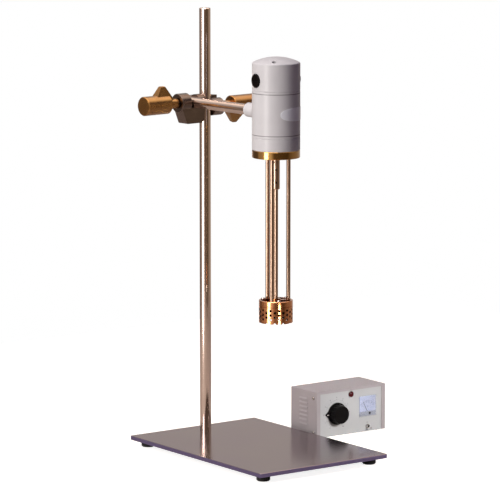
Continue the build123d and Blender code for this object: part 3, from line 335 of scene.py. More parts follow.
@dataclass(frozen=True)
class Metal(Finish):
    """Bare, plated or polished metal with its tool marks and slight tarnish.

    Sides is a painted reflection: the colour given to the faces that look sideways. Inside the
    shade radius, from an upright axis, the metal is darkened as painted shade, as dark as a shaded
    hollow looks.
    """

    roughness: float = 0.2
    marks: Marks = Marks.TURNED
    turn: tuple[float, float, float] = (0.0, 0.0, 0.0)
    depth: float = 0.012 * MM
    tarnish: float = 0.12
    tint: Colour | None = None
    lacquer: float = 0.0
    # Painted reflection: the colour of the faces that look sideways.
    sides: Colour | None = None
    axis: tuple[float, float] = (0.0, 0.0)
    shade_radius: float = 0.0

    CLOUDS = 28.0
    SPOTS = 420.0
    SPOT_EDGES = (0.62, 0.74)
    SPOT_SHARE = 0.18
    PATCHES = 9.0
    PATCH_EDGES = (0.35, 0.7)
    PATCH_SHARE = 0.6
    SHADE_FADE = 0.4 * MM

    def material(self) -> bpy.types.Material:
        """Builds the metal.

        Returns:
            The new material.
        """
        material, graph = self.graph()
        plain = graph.place(self.turn)
        scale, detail, broken = self.marks.value
        fine = graph.noise(graph.place(self.turn, scale), 1.0, detail, broken)
        cloud = graph.noise(plain, self.CLOUDS, 4.0, 0.6)
        spots = graph.noise(plain, self.SPOTS, 2.0).clamped(*self.SPOT_EDGES)
        dark, light = self.shades(self.tarnish)
        colour = graph.mix(cloud.clamped(*SOFT_MIDDLE), dark, light)
        if self.tint:
            patches = graph.noise(plain, self.PATCHES, 2.0)
            share = patches.clamped(*self.PATCH_EDGES, 0.0, self.PATCH_SHARE)
            colour = graph.mix(share, colour, linear(self.tint))
        spot = (*[value / 2 for value in dark[:3]], 1.0)
        colour = graph.mix(spots * self.SPOT_SHARE, colour, spot)
        # Painted reflection: faces that look sideways take the sides colour.
        if self.sides:
            level = graph.upright().clamped(*SOFT_MIDDLE, 1.0, 0.0)
            colour = graph.mix(level, colour, linear(self.sides))
        # Painted shade: inside the shade radius the metal takes the dark hollow colour.
        if self.shade_radius:
            distance = graph.from_axis(self.axis)
            hollow_shade = distance.clamped(self.shade_radius - self.SHADE_FADE, self.shade_radius, 1.0, 0.0)
            colour = graph.mix(hollow_shade, colour, linear(HOLLOW_PAINTED_SHADE))
        uneven = fine * (self.roughness * 0.5) + cloud * (self.roughness * 0.4)
        graph.surface(
            Base_Color=colour,
            Metallic=1.0,
            Roughness=uneven + self.roughness * 0.55,
            Coat_Weight=self.lacquer,
            Coat_Roughness=0.08,
            Normal=graph.bump(fine, self.depth),
        )
        return material


@dataclass(frozen=True)
class Paint(Finish):
    """Sprayed enamel: faint orange peel, fine specks and a clear gloss over it.

    Hammer is the scale of a hammered texture, if it has one. Seams are the heights of lines of
    painted shade, in the grooves between parts.
    """

    roughness: float = 0.4
    coat: float = 0.12
    peel: float = 0.03 * MM
    hammer: float = 0.0
    ior: float = 1.38
    seams: tuple[float, ...] = ()

    PEEL = 650.0
    CLOUDS = 14.0
    DUST = 1700.0
    DUST_EDGES = (0.68, 0.76)
    DUST_SHARE = 0.25
    SEAM_EDGES = (0.3 * MM, 0.9 * MM)
    SEAM_SHARE = 0.8

    def material(self) -> bpy.types.Material:
        """Builds the paint.

        Returns:
            The new material.
        """
        material, graph = self.graph()
        plain = graph.place()
        peel = graph.noise(plain, self.PEEL, 2.0)
        cloud = graph.noise(plain, self.CLOUDS, 4.0)
        dust = graph.noise(plain, self.DUST, 1.0).clamped(*self.DUST_EDGES)
        colour = graph.mix(cloud.clamped(*SOFT_MIDDLE), *self.shades(0.05))
        colour = graph.mix(dust * self.DUST_SHARE, colour, self.shades(0.3)[0])
        # Painted shade: a dark line at each seam, where the groove between parts lies in shade.
        for seam in self.seams:
            line = abs(graph.height() - seam).clamped(*self.SEAM_EDGES, self.SEAM_SHARE, 0.0)
            colour = graph.mix(line, colour, linear(SEAM_PAINTED_SHADE))
        height = peel
        if self.hammer:
            height = graph.noise(plain, self.hammer, 2.0) + peel * 0.4
        graph.surface(
            Base_Color=colour,
            Roughness=cloud * 0.1 + peel * 0.06 + (self.roughness - 0.08),
            IOR=self.ior,
            Coat_Weight=self.coat,
            Coat_Roughness=0.12,
            Normal=graph.bump(height, self.peel),
        )
        return material


@dataclass(frozen=True)
class Moulding(Finish):
    """Moulded plastic or rubber with a fine grain and faint sheen."""

    roughness: float = 0.4
    grain: float = 900.0
    depth: float = 0.04 * MM
    sheen: float = 0.0
    ior: float = 1.5

    CLOUDS = 35.0

    def material(self) -> bpy.types.Material:
        """Builds the moulding.

        Returns:
            The new material.
        """
        material, graph = self.graph()
        plain = graph.place()
        grain = graph.noise(plain, self.grain, 3.0, 0.6)
        cloud = graph.noise(plain, self.CLOUDS, 4.0)
        graph.surface(
            Base_Color=graph.mix(cloud.clamped(*SOFT_MIDDLE), *self.shades(0.15)),
            Roughness=grain * 0.14 + cloud * 0.08 + (self.roughness - 0.1),
            Sheen_Weight=self.sheen,
            IOR=self.ior,
            Normal=graph.bump(grain, self.depth),
        )
        return material


@dataclass(frozen=True)
class Clear(Finish):
    """Thin clear moulding that shows what is behind it."""

    cover: float = 0.1
    roughness: float = 0.06

    SMEARS = 60.0

    def material(self) -> bpy.types.Material:
        """Builds the clear moulding.

        Returns:
            The new material.
        """
        material, graph = self.graph()
        smears = graph.noise(graph.place(), self.SMEARS, 4.0)
        graph.surface(
            Base_Color=linear(self.colour),
            Roughness=smears * 0.05 + self.roughness,
            Alpha=smears * 0.04 + self.cover,
        )
        return material


@dataclass(frozen=True)
class Layered(Finish):
    """Stacked laminations or wound wire: fine bands along the motor's axis."""

    other: Colour = (40, 40, 42)
    pitch: float = 0.6 * MM
    metallic: float = 0.5
    roughness: float = 0.5

    CLOUDS = 60.0

    def material(self) -> bpy.types.Material:
        """Builds the banded finish.

        Returns:
            The new material.
        """
        material, graph = self.graph()
        plain = graph.place()
        bands = graph.add(
            "ShaderNodeTexWave",
            {"wave_type": "BANDS", "bands_direction": "Z"},
            {"Vector": plain, "Scale": 0.05 / self.pitch, "Distortion": 0.4, "Detail": 1.0},
            output="Fac",
        )
        cloud = graph.noise(plain, self.CLOUDS, 3.0)
        share = bands * 0.55 + cloud * 0.3
        graph.surface(
            Base_Color=graph.mix(share, linear(self.other), linear(self.colour)),
            Metallic=self.metallic,
            Roughness=cloud * 0.2 + self.roughness,
            Normal=graph.bump(bands, self.pitch * 0.3, 0.6),
        )
        return material


@dataclass(frozen=True)
class Ink(Finish):
    """Screen-printed marks, a little uneven."""

    BLOTS = 1500.0

    def material(self) -> bpy.types.Material:
        """Builds the ink.

        Returns:
            The new material.
        """
        material, graph = self.graph()
        blot = graph.noise(graph.place(), self.BLOTS, 2.0)
        colour = graph.mix(blot, *self.shades(0.2))
        graph.surface(Base_Color=colour, Roughness=blot * 0.2 + 0.45)
        return material


@dataclass(frozen=True)
class Finishes:
    """The finish of each material slot, and of the nodes that differ from their slot."""

    seams: tuple[float, ...] = ()
    axis: tuple[float, float] = (0.0, 0.0)
    # radius inside which the stator is darkened as painted shade
    stator_shade_radius: float = 0.0

    def stand(self) -> dict[str, Finish]:
        """Lists the finishes of the stand, the boss head and the arm.

        Returns:
            The finishes by slot.
        """
        return {
            # The plate's sides colour is a painted reflection on its side faces.
            "bright_steel_plate": Metal(
                "polished plate", (150, 136, 138), roughness=0.17, marks=Marks.GROUND,
                depth=0.003 * MM, tarnish=0.05, tint=(146, 128, 140), sides=(133, 125, 172),
            ),
            "bright_rod": Metal(
                "polished rod", (236, 214, 202), roughness=0.12, marks=Marks.DRAWN,
                depth=0.0015 * MM, tarnish=0.04,
            ),
            "clamp_metal": Metal(
                "clamp casting", (130, 114, 106), roughness=0.24, marks=Marks.CAST,
                depth=0.06 * MM, tarnish=0.16,
            ),
            "brass_knob": Metal(
                "dulled brass", (184, 138, 78), roughness=0.27, turn=ACROSS, tarnish=0.14,
                tint=(156, 96, 48), lacquer=0.5,
            ),
            "steel_small": Metal("bright screws", (190, 186, 184), roughness=0.25),
            "black_rubber": Moulding(
                "black rubber", (12, 11, 12), roughness=0.75, grain=700.0, depth=0.08 * MM,
                sheen=0.2,
            ),
        }

    def head(self) -> dict[str, Finish]:
        """Lists the finishes of the drive head and the rotor line.

        Returns:
            The finishes by slot.
        """
        return {
            "painted_body": Paint("pale grey enamel", (203, 201, 203), seams=self.seams),
            "brass_ring": Metal(
                "turned brass", (190, 144, 72), roughness=0.13, tint=(164, 112, 48), lacquer=1.0,
            ),
            "head_metal": Metal(
                "warm bright steel", (194, 167, 146), roughness=0.32, marks=Marks.DRAWN,
                depth=0.003 * MM, tarnish=0.08, tint=(180, 144, 120),
            ),
            "dark_screw": Metal("blackened screws", (44, 37, 36), roughness=0.4),
            "motor_iron": Layered("laminations", (70, 70, 74)),
            "winding_copper": Layered(
                "wound copper", (176, 92, 46), other=(92, 40, 20), pitch=0.8 * MM, metallic=0.7,
                roughness=0.35,
            ),
            "bare_copper": Metal("bare copper", (196, 120, 84), roughness=0.28),
            "carbon": Moulding("pressed carbon", (36, 36, 38), roughness=0.6, grain=1600.0),
            "bearing_steel": Metal("ground steel", (204, 204, 208), roughness=0.16),
        }

    def controller(self) -> dict[str, Finish]:
        """Lists the finishes of the controller.

        Returns:
            The finishes by slot.
        """
        return {
            "black_plastic": Moulding("black moulding", (4, 3, 4), ior=1.2),
            "case_paint": Paint(
                "case enamel", (160, 154, 156), roughness=0.42, coat=0.2, peel=0.05 * MM,
                hammer=380.0,
            ),
            "panel_paint": Paint("panel enamel", (177, 179, 180), coat=0.2),
            "galvanised_sheet": Metal(
                "bent sheet", (176, 178, 180), roughness=0.4, marks=Marks.CAST, tarnish=0.2,
            ),
            "red_lens": Moulding(
                "red lens", (66, 3, 13), roughness=0.22, grain=400.0, depth=0.01 * MM, ior=1.25,
            ),
            "clear_cover": Clear("clear cover", (226, 236, 252)),
            "meter_white": Moulding(
                "dial card", (166, 174, 203), roughness=0.5, grain=1200.0, depth=0.01 * MM,
            ),
            "needle_red": Moulding("painted needle", (30, 28, 30), roughness=0.45),
            "chromed_trim": Metal("chromed trim", (214, 214, 216), roughness=0.1),
        }

    def nodes(self) -> dict[str, Finish]:
        """Lists the finishes of the nodes that differ from the rest of their slot.

        Returns:
            The finishes by node.
        """
        polished = Metal(
            "polished stator", (226, 156, 106), roughness=0.17, tarnish=0.08,
            tint=(204, 126, 76), lacquer=0.5, axis=self.axis, shade_radius=self.stator_shade_radius,
        )
        return {
            "stator": polished,
            "head_spider": replace(polished, name="polished spider", shade_radius=0.0),
            # Painted shade: the rotor is coloured dark because it lies in shade inside the stator.
            "rotor": Metal("rotor steel in painted shade", (44, 28, 20), roughness=0.45),
        }

    def dress(
        self, nodes: dict[str, bpy.types.Object], subparts: Iterable[dict]
    ) -> dict[str, bpy.types.Material]:
        """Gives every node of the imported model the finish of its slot.

        Args:
            nodes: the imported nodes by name.
            subparts: the record's list of nodes and slots.

        Returns:
            The materials by slot.
        """
        slots = self.stand() | self.head() | self.controller()
        made = {slot: finish.material() for slot, finish in slots.items()}
        own = {node: finish.material() for node, finish in self.nodes().items()}
        for part in subparts:
            mesh = nodes[part["node"]].data
            if not mesh.materials:
                mesh.materials.append(None)
            for index in range(len(mesh.materials)):
                mesh.materials[index] = own.get(part["node"], made[part["material_slot"]])
            log.info("dressed %s in %s", part["node"], part["material_slot"])
        return made


class Bench:
    """Makes small pieces and puts them on their bodies."""

    ROUND_SIDES = 32
    CAPITAL = 0.7  # a capital's height, as a share of the font's size

    @staticmethod
    def put(
        made: bmesh.types.BMesh,
        name: str,
        body: str,
        slot: str | None,
        material: bpy.types.Material,
    ) -> None:
        """Turns a bmesh into a piece that rides on a body.

        Args:
            made: the finished bmesh in the shared frame, in metres; it is freed here.
            name: the piece's name.
            body: the body that it rides on.
            slot: the record's slot, if it has one; not used.
            material: its material.
        """
        bmesh.ops.recalc_face_normals(made, faces=made.faces)
        mesh = bpy.data.meshes.new(name)
        made.to_mesh(mesh)
        made.free()
        mesh.materials.append(material)
        piece = bpy.data.objects.new(name, mesh)
        bpy.context.scene.collection.objects.link(piece)
        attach(piece, body)
        log.info("made %s on %s: %d faces", name, body, len(mesh.polygons))

    @staticmethod
    def join(target: bmesh.types.BMesh, part: bmesh.types.BMesh, matrix: Matrix) -> None:
        """Adds a copy of one bmesh to another.

        Args:
            target: the bmesh that grows.
            part: the bmesh to copy; it is freed here.
            matrix: where the copy goes.
        """
        bmesh.ops.transform(part, matrix=matrix, verts=part.verts)
        mesh = bpy.data.meshes.new("copy")
        part.to_mesh(mesh)
        part.free()
        target.from_mesh(mesh)
        bpy.data.meshes.remove(mesh)

    @staticmethod
    def on_front(depth: float, x: float, z: float, turn: float = 0.0) -> Matrix:
        """The matrix that stands a flat piece on a face that looks to the front.

        Args:
            depth: where the face is, along Y.
            x: place to the right.
            z: height.
            turn: turn in the face's plane, in radians.

        Returns:
            The matrix.
        """
        stand = Matrix.Rotation(math.radians(90), 4, "X")
        return Matrix.Translation((x, depth, z)) @ stand @ Matrix.Rotation(turn, 4, "Z")

    @staticmethod
    def bar(length: float, width: float, depth: float, bevel: float = 0.0) -> bmesh.types.BMesh:
        """A small bar from the origin along X, centred on Y, rising along Z.

        Args:
            length: size along X.
            width: size along Y.
            depth: size along Z.
            bevel: rounding of its edges.

        Returns:
            The bmesh.
        """
        made = bmesh.new()
        bmesh.ops.create_cube(made, size=1.0)
        bmesh.ops.scale(made, vec=(length, width, depth), verts=made.verts)
        bmesh.ops.translate(made, vec=(length / 2, 0, depth / 2), verts=made.verts)
        if bevel:
            Bench.round_off(made, made.edges, bevel, 2)
        return made

    @staticmethod
    def disc(radius: float, depth: float, bevel: float) -> bmesh.types.BMesh:
        """A short round stud on the origin, rising along Z, with a rounded top edge.

        Args:
            radius: its radius.
            depth: its height.
            bevel: rounding of its top edge.

        Returns:
            The bmesh.
        """
        made = bmesh.new()
        sides = Bench.ROUND_SIDES
        bmesh.ops.create_cone(
            made, cap_ends=True, segments=sides, radius1=radius, radius2=radius, depth=depth
        )
        bmesh.ops.translate(made, vec=(0, 0, depth / 2), verts=made.verts)
        rim = [edge for edge in made.edges if all(v.co.z > depth * 0.9 for v in edge.verts)]
        Bench.round_off(made, rim, bevel, 3)
        return made

    @staticmethod
    def round_off(
        made: bmesh.types.BMesh, edges: Sequence[bmesh.types.BMEdge], size: float, steps: int
    ) -> None:
        """Bevels some edges of a bmesh.

        Args:
            made: the bmesh.
            edges: the edges.
            size: width of the bevel.
            steps: its number of faces.
        """
        bmesh.ops.bevel(
            made, geom=edges, offset=size, affect="EDGES", segments=steps, profile=0.5, material=-1
        )

    @staticmethod
    def words(text: str, height: float, depth: float) -> bmesh.types.BMesh:
        """A plain number or word lying in the XY plane, centred on the origin.

        Args:
            text: what it says.
            height: height of a capital.
            depth: thickness of the print.

        Returns:
            The bmesh.
        """
        curve = bpy.data.curves.new("print", "FONT")
        curve.body = text
        curve.size = height / Bench.CAPITAL
        curve.align_x = "CENTER"
        curve.align_y = "CENTER"
        curve.extrude = depth / 2
        curve.resolution_u = 3
        holder = bpy.data.objects.new("print", curve)
        bpy.context.scene.collection.objects.link(holder)
        bpy.context.view_layer.update()
        mesh = bpy.data.meshes.new_from_object(holder)
        made = bmesh.new()
        made.from_mesh(mesh)
        bmesh.ops.remove_doubles(made, verts=made.verts, dist=depth * 0.01)
        bmesh.ops.translate(made, vec=(0, 0, depth / 2), verts=made.verts)
        bpy.data.objects.remove(holder)
        bpy.data.curves.remove(curve)
        bpy.data.meshes.remove(mesh)
        return made


@dataclass
class Badge:
    """Bare oval plate on the front of the motor housing.

    Direction is in degrees from the arm. Bluntness is the oval's exponent, where 2 is an ellipse.
    Rounding is the rim's bevel, as a share of the thickness.
    """

    width: float = 87 * MM
    height: float = 26 * MM
    thickness: float = 0.5 * MM
    rounding: float = 0.45
    clearance: float = 0.05 * MM
    direction: float = 23.9
    above_arm: float = 0.9 * MM
    bluntness: float = 2.5
    sides: int = 72
    bends: int = 18

    def build(
        self,
        axis: Vector,
        radius: float,
        arm_height: float,
        swing: float,
        material: bpy.types.Material,
    ) -> None:
        """Makes the plate and bends it round the housing.

        Args:
            axis: a point on the motor's axis.
            radius: the housing's radius.
            arm_height: height of the arm's axis.
            swing: direction of the arm, in degrees.
            material: its finish.
        """
        made = bmesh.new()
        bmesh.ops.create_circle(made, cap_ends=True, segments=self.sides, radius=1.0)
        for vert in made.verts:
            vert.co.x = self.blunted(vert.co.x) * self.width / 2
            vert.co.y = self.blunted(vert.co.y) * self.height / 2
        for step in range(-self.bends, self.bends + 1):
            place = (step * self.width / (2 * self.bends + 2), 0, 0)
            geometry = made.verts[:] + made.edges[:] + made.faces[:]
            bmesh.ops.bisect_plane(made, geom=geometry, plane_co=place, plane_no=(1, 0, 0))
        raised = bmesh.ops.extrude_face_region(made, geom=made.faces[:])["geom"]
        top = [item for item in raised if isinstance(item, bmesh.types.BMVert)]
        bmesh.ops.translate(made, vec=(0, 0, self.thickness), verts=top)
        made.normal_update()
        rim = [edge for edge in made.edges if self.on_rim(edge)]
        Bench.round_off(made, rim, self.thickness * self.rounding, 2)
        middle = math.radians(swing + self.direction)
        for vert in made.verts:
            angle = middle + vert.co.x / radius
            reach = radius + self.clearance + vert.co.z
            height = arm_height + self.above_arm + vert.co.y
            x, y = axis.x + reach * math.cos(angle), axis.y + reach * math.sin(angle)
            vert.co = Vector((x, y, height))
        Bench.put(made, "badge_plate", "head", "painted_body", material)

    def blunted(self, value: float) -> float:
        """A coordinate of the unit circle moved onto the blunter oval."""
        return math.copysign(abs(value) ** (2 / self.bluntness), value)

    def on_rim(self, edge: bmesh.types.BMEdge) -> bool:
        """Whether an edge of the raised face borders the plate's side wall."""
        walled = any(abs(face.normal.z) < 0.5 for face in edge.link_faces)
        return walled and all(vert.co.z > 0 for vert in edge.verts)


@dataclass(frozen=True)
class Scale:
    """Ticks and plain numbers on an arc, as on a dial or a meter.

    Every so many steps, as each says, there is a long tick with a number. A tick has a length and
    a width. Angles are in degrees, and the arc runs clockwise.
    """

    radius: float
    start: float
    sweep: float
    steps: int
    each: int
    long_tick: tuple[float, float]
    short_tick: tuple[float, float]
    number_radius: float
    number_height: float
    number_step: int
    print_depth: float

    OVERLAP = 1.02
    LINE_DEPTH = 0.9  # the arc's line is this share of the ticks' thickness

    def angle(self, step: float) -> float:
        """The angle of a step, in radians."""
        return math.radians(self.start - self.sweep * step / self.steps)

    def place(self, front: Vector, radius: float, angle: float, turn: float = 0.0) -> Matrix:
        """The matrix of a piece on the arc.

        Args:
            front: the arc's centre, on the face that carries it.
            radius: the piece's distance from the centre.
            angle: its angle, in radians.
            turn: its own turn, in radians.

        Returns:
            The matrix.
        """
        x = front.x + radius * math.cos(angle)
        z = front.z + radius * math.sin(angle)
        return Bench.on_front(front.y, x, z, turn)

    def ticks(self, made: bmesh.types.BMesh, front: Vector) -> None:
        """Adds the ticks.

        Args:
            made: the bmesh that they go into.
            front: the arc's centre, on the face that carries it.
        """
        for step in range(self.steps + 1):
            angle = self.angle(step)
            length, width = self.short_tick if step % self.each else self.long_tick
            tick = Bench.bar(length, width, self.print_depth)
            Bench.join(made, tick, self.place(front, self.radius, angle, angle))

    def arc(self, made: bmesh.types.BMesh, front: Vector, width: float) -> None:
        """Adds the line that the ticks stand on.

        Args:
            made: the bmesh that it goes into.
            front: the arc's centre, on the face that carries it.
            width: the line's width.
        """
        half = math.radians(self.sweep / self.steps / 2)
        chord = 2 * self.radius * math.sin(half) * self.OVERLAP
        for step in range(self.steps):
            angle = self.angle(step)
            piece = Bench.bar(chord, width, self.print_depth * self.LINE_DEPTH)
            turn = angle - math.radians(90) - half
            Bench.join(made, piece, self.place(front, self.radius, angle, turn))

    def numbers(self, made: bmesh.types.BMesh, front: Vector) -> None:
        """Adds the numbers.

        Args:
            made: the bmesh that they go into.
            front: the arc's centre, on the face that carries it.
        """
        for number in range(self.steps // self.each + 1):
            text = str(number * self.number_step)
            word = Bench.words(text, self.number_height, self.print_depth)
            angle = self.angle(number * self.each)
            Bench.join(made, word, self.place(front, self.number_radius, angle))


@dataclass
class Faceplate:
    """Printed and small raised details on the controller's front."""

    print_depth: float = 0.08 * MM
    line_size: tuple[float, float, float, float] = (4.6 * MM, 1.5 * MM, 0.25 * MM, 0.08 * MM)
    line_inset: float = 1.2 * MM
    skirt: float = 3.45 * MM
    word_height: float = 2.0 * MM
    word_rise: float = 7.4 * MM

    def dial(self, panel: float, centre: Vector, ink: bpy.types.Material) -> None:
        """Ticks and plain numbers round the speed knob.

        Args:
            panel: where the panel's front face is, along Y.
            centre: a point on the knob's axis.
            ink: the print's material.
        """
        scale = Scale(
            radius=26.5 * MM,
            start=240.0,
            sweep=300.0,
            steps=50,
            each=5,
            long_tick=(2.6 * MM, 0.6 * MM),
            short_tick=(1.3 * MM, 0.35 * MM),
            number_radius=32.0 * MM,
            number_height=2.6 * MM,
            number_step=1,
            print_depth=self.print_depth,
        )
        made = bmesh.new()
        front = Vector((centre.x, panel, centre.z))
        scale.ticks(made, front)
        scale.numbers(made, front)
        Bench.put(made, "dial_marks", "controller", None, ink)

    def pointer(self, knob: Corners, axis: Vector, white: bpy.types.Material) -> None:
        """White line let into the knob's nose.

        Args:
            knob: the knob's lowest and highest corners.
            axis: a point on the knob's axis.
            white: its material.
        """
        made = bmesh.new()
        place = Bench.on_front(knob[1].y - self.skirt, knob[0].x + self.line_inset, axis.z)
        Bench.join(made, Bench.bar(*self.line_size), place)
        Bench.put(made, "pointer_line", "speed_control", None, white)

    def switch_words(self, panel: float, switch: Vector, ink: bpy.types.Material) -> None:
        """ON above and OFF below the power switch.

        Args:
            panel: where the panel's front face is, along Y.
            switch: a point on the switch's axis.
            ink: the print's material.
        """
        made = bmesh.new()
        for text, rise in (("ON", self.word_rise), ("OFF", -self.word_rise)):
            word = Bench.words(text, self.word_height, self.print_depth)
            Bench.join(made, word, Bench.on_front(panel, switch.x, switch.z + rise))
        Bench.put(made, "switch_words", "controller", None, ink)


@dataclass
class MeterFace:
    """Scale on the meter's card, and the small parts of its cover."""

    cover: Corners
    base: float = 0.8 * MM
    mask_front: float = 2.15 * MM
    mask_size: tuple[float, float, float] = (9.0 * MM, 0.4 * MM, 0.1 * MM)
    mask_side: float = 1.35 * MM
    mask_rise: float = 5.9 * MM
    pivot_drop: float = 13.0 * MM
    arc_radius: float = 22.6 * MM
    arc_width: float = 0.25 * MM
    number_inset: float = 2.6 * MM
    print_depth: float = 0.06 * MM
    letter_height: float = 4.0 * MM
    letter_rise: float = 11.0 * MM
    screw_size: tuple[float, float, float] = (2.3 * MM, 0.9 * MM, 0.3 * MM)
    screw_place: tuple[float, float] = (3.0 * MM, -1.5 * MM)
    slot_size: tuple[float, float, float] = (3.4 * MM, 0.6 * MM, 0.12 * MM)
    slot_rise: float = 0.85 * MM
    slot_turn: float = 0.5

    def pivot(self, depth: float) -> Vector:
        """The needle's pivot, on a face that lies at a depth along Y."""
        low, high = self.cover
        return Vector(((low.x + high.x) / 2, depth, (low.z + high.z) / 2 - self.pivot_drop))

    def scale(self, ink: bpy.types.Material) -> None:
        """Arc, ticks and plain numbers on the card, with the unit.

        Args:
            ink: the print's material.
        """
        volts = Scale(
            radius=self.arc_radius,
            start=135.0,
            sweep=90.0,
            steps=30,
            each=6,
            long_tick=(2.4 * MM, 0.4 * MM),
            short_tick=(1.3 * MM, 0.22 * MM),
            number_radius=self.arc_radius - self.number_inset,
            number_height=1.9 * MM,
            number_step=50,
            print_depth=self.print_depth,
        )
        made = bmesh.new()
        card = self.pivot(self.cover[1].y - self.base)
        volts.ticks(made, card)
        volts.arc(made, card, self.arc_width)
        volts.numbers(made, card)
        letter = Bench.words("V", self.letter_height, self.print_depth)
        Bench.join(made, letter, Bench.on_front(card.y, card.x, card.z + self.letter_rise))
        Bench.put(made, "meter_scale", "controller", None, ink)

    def trim(self, dark: bpy.types.Material, band: bpy.types.Material) -> None:
        """Zero screw in front of the cover and the band that hides the movement.

        Args:
            dark: the screw's material.
            band: the band's material.
        """
        low, high = self.cover
        front = self.pivot(low.y)
        x, z = front.x + self.screw_place[0], front.z + self.screw_place[1]
        made = bmesh.new()
        Bench.join(made, Bench.disc(*self.screw_size), Bench.on_front(front.y, x, z))
        shift = Matrix.Translation((-self.slot_size[0] / 2, 0, self.slot_rise))
        place = Bench.on_front(front.y, x, z, self.slot_turn) @ shift
        Bench.join(made, Bench.bar(*self.slot_size), place)
        Bench.put(made, "meter_zero_screw", "controller", "black_plastic", dark)
        left = low.x + self.mask_side
        strip = Bench.bar(high.x - self.mask_side - left, *self.mask_size)
        made = bmesh.new()
        place = Bench.on_front(high.y - self.mask_front, left, low.z + self.mask_rise)
        Bench.join(made, strip, place)
        Bench.put(made, "meter_mask", "controller", "meter_white", band)


@dataclass(frozen=True)
class Lamp:
    """A soft rectangular lamp, placed as seen from the camera.

    Its place is in metres to the right of what it points at, towards the camera and above it. Its
    size is a width and a height in metres, its power is in watts and its spread in degrees.
    """

    name: str
    place: Place
    size: tuple[float, float]
    power: float
    colour: Colour
    spread: float = 180.0


# The surroundings, as linear colours at places round the object: 0 and 1 lie behind it, 0.25 to
# its left, 0.5 on the camera's side and 0.75 to its right. Glossy rays see the ring, and the sky
# above it. Diffuse rays get the fill.
RING: Stops = (
    (0.0, (0.60, 0.54, 0.50)),
    (0.083, (0.40, 0.34, 0.30)),
    (0.12, (0.13, 0.10, 0.08)),
    (0.19, (0.13, 0.10, 0.08)),
    (0.225, (0.14, 0.11, 0.09)),
    (0.25, (0.46, 0.40, 0.36)),
    (0.30, (0.50, 0.44, 0.40)),
    (0.375, (0.90, 0.85, 0.82)),
    (0.43, (0.90, 0.84, 0.80)),
    (0.455, (0.40, 0.33, 0.29)),
    (0.475, (0.15, 0.11, 0.08)),
    (0.56, (0.11, 0.08, 0.05)),
    (0.66, (0.09, 0.065, 0.04)),
    (0.70, (0.22, 0.17, 0.12)),
    (0.74, (0.30, 0.24, 0.18)),
    (0.82, (0.36, 0.30, 0.24)),
    (0.917, (0.50, 0.44, 0.39)),
    (1.0, (0.60, 0.54, 0.50)),
)
SKY: Stops = (
    (0.0, (0.40, 0.37, 0.36)),
    (0.3, (0.55, 0.50, 0.48)),
    (0.5, (0.30, 0.25, 0.24)),
    (0.62, (0.12, 0.09, 0.10)),
    (0.8, (0.12, 0.09, 0.10)),
    (1.0, (0.40, 0.37, 0.36)),
)
FILL: Stops = (
    (0.0, (0.05, 0.04, 0.07)),
    (0.33, (0.20, 0.19, 0.19)),
    (0.5, (0.05, 0.04, 0.07)),
    (0.62, (0.014, 0.004, 0.05)),
    (0.8, (0.014, 0.004, 0.05)),
    (1.0, (0.05, 0.04, 0.07)),
)


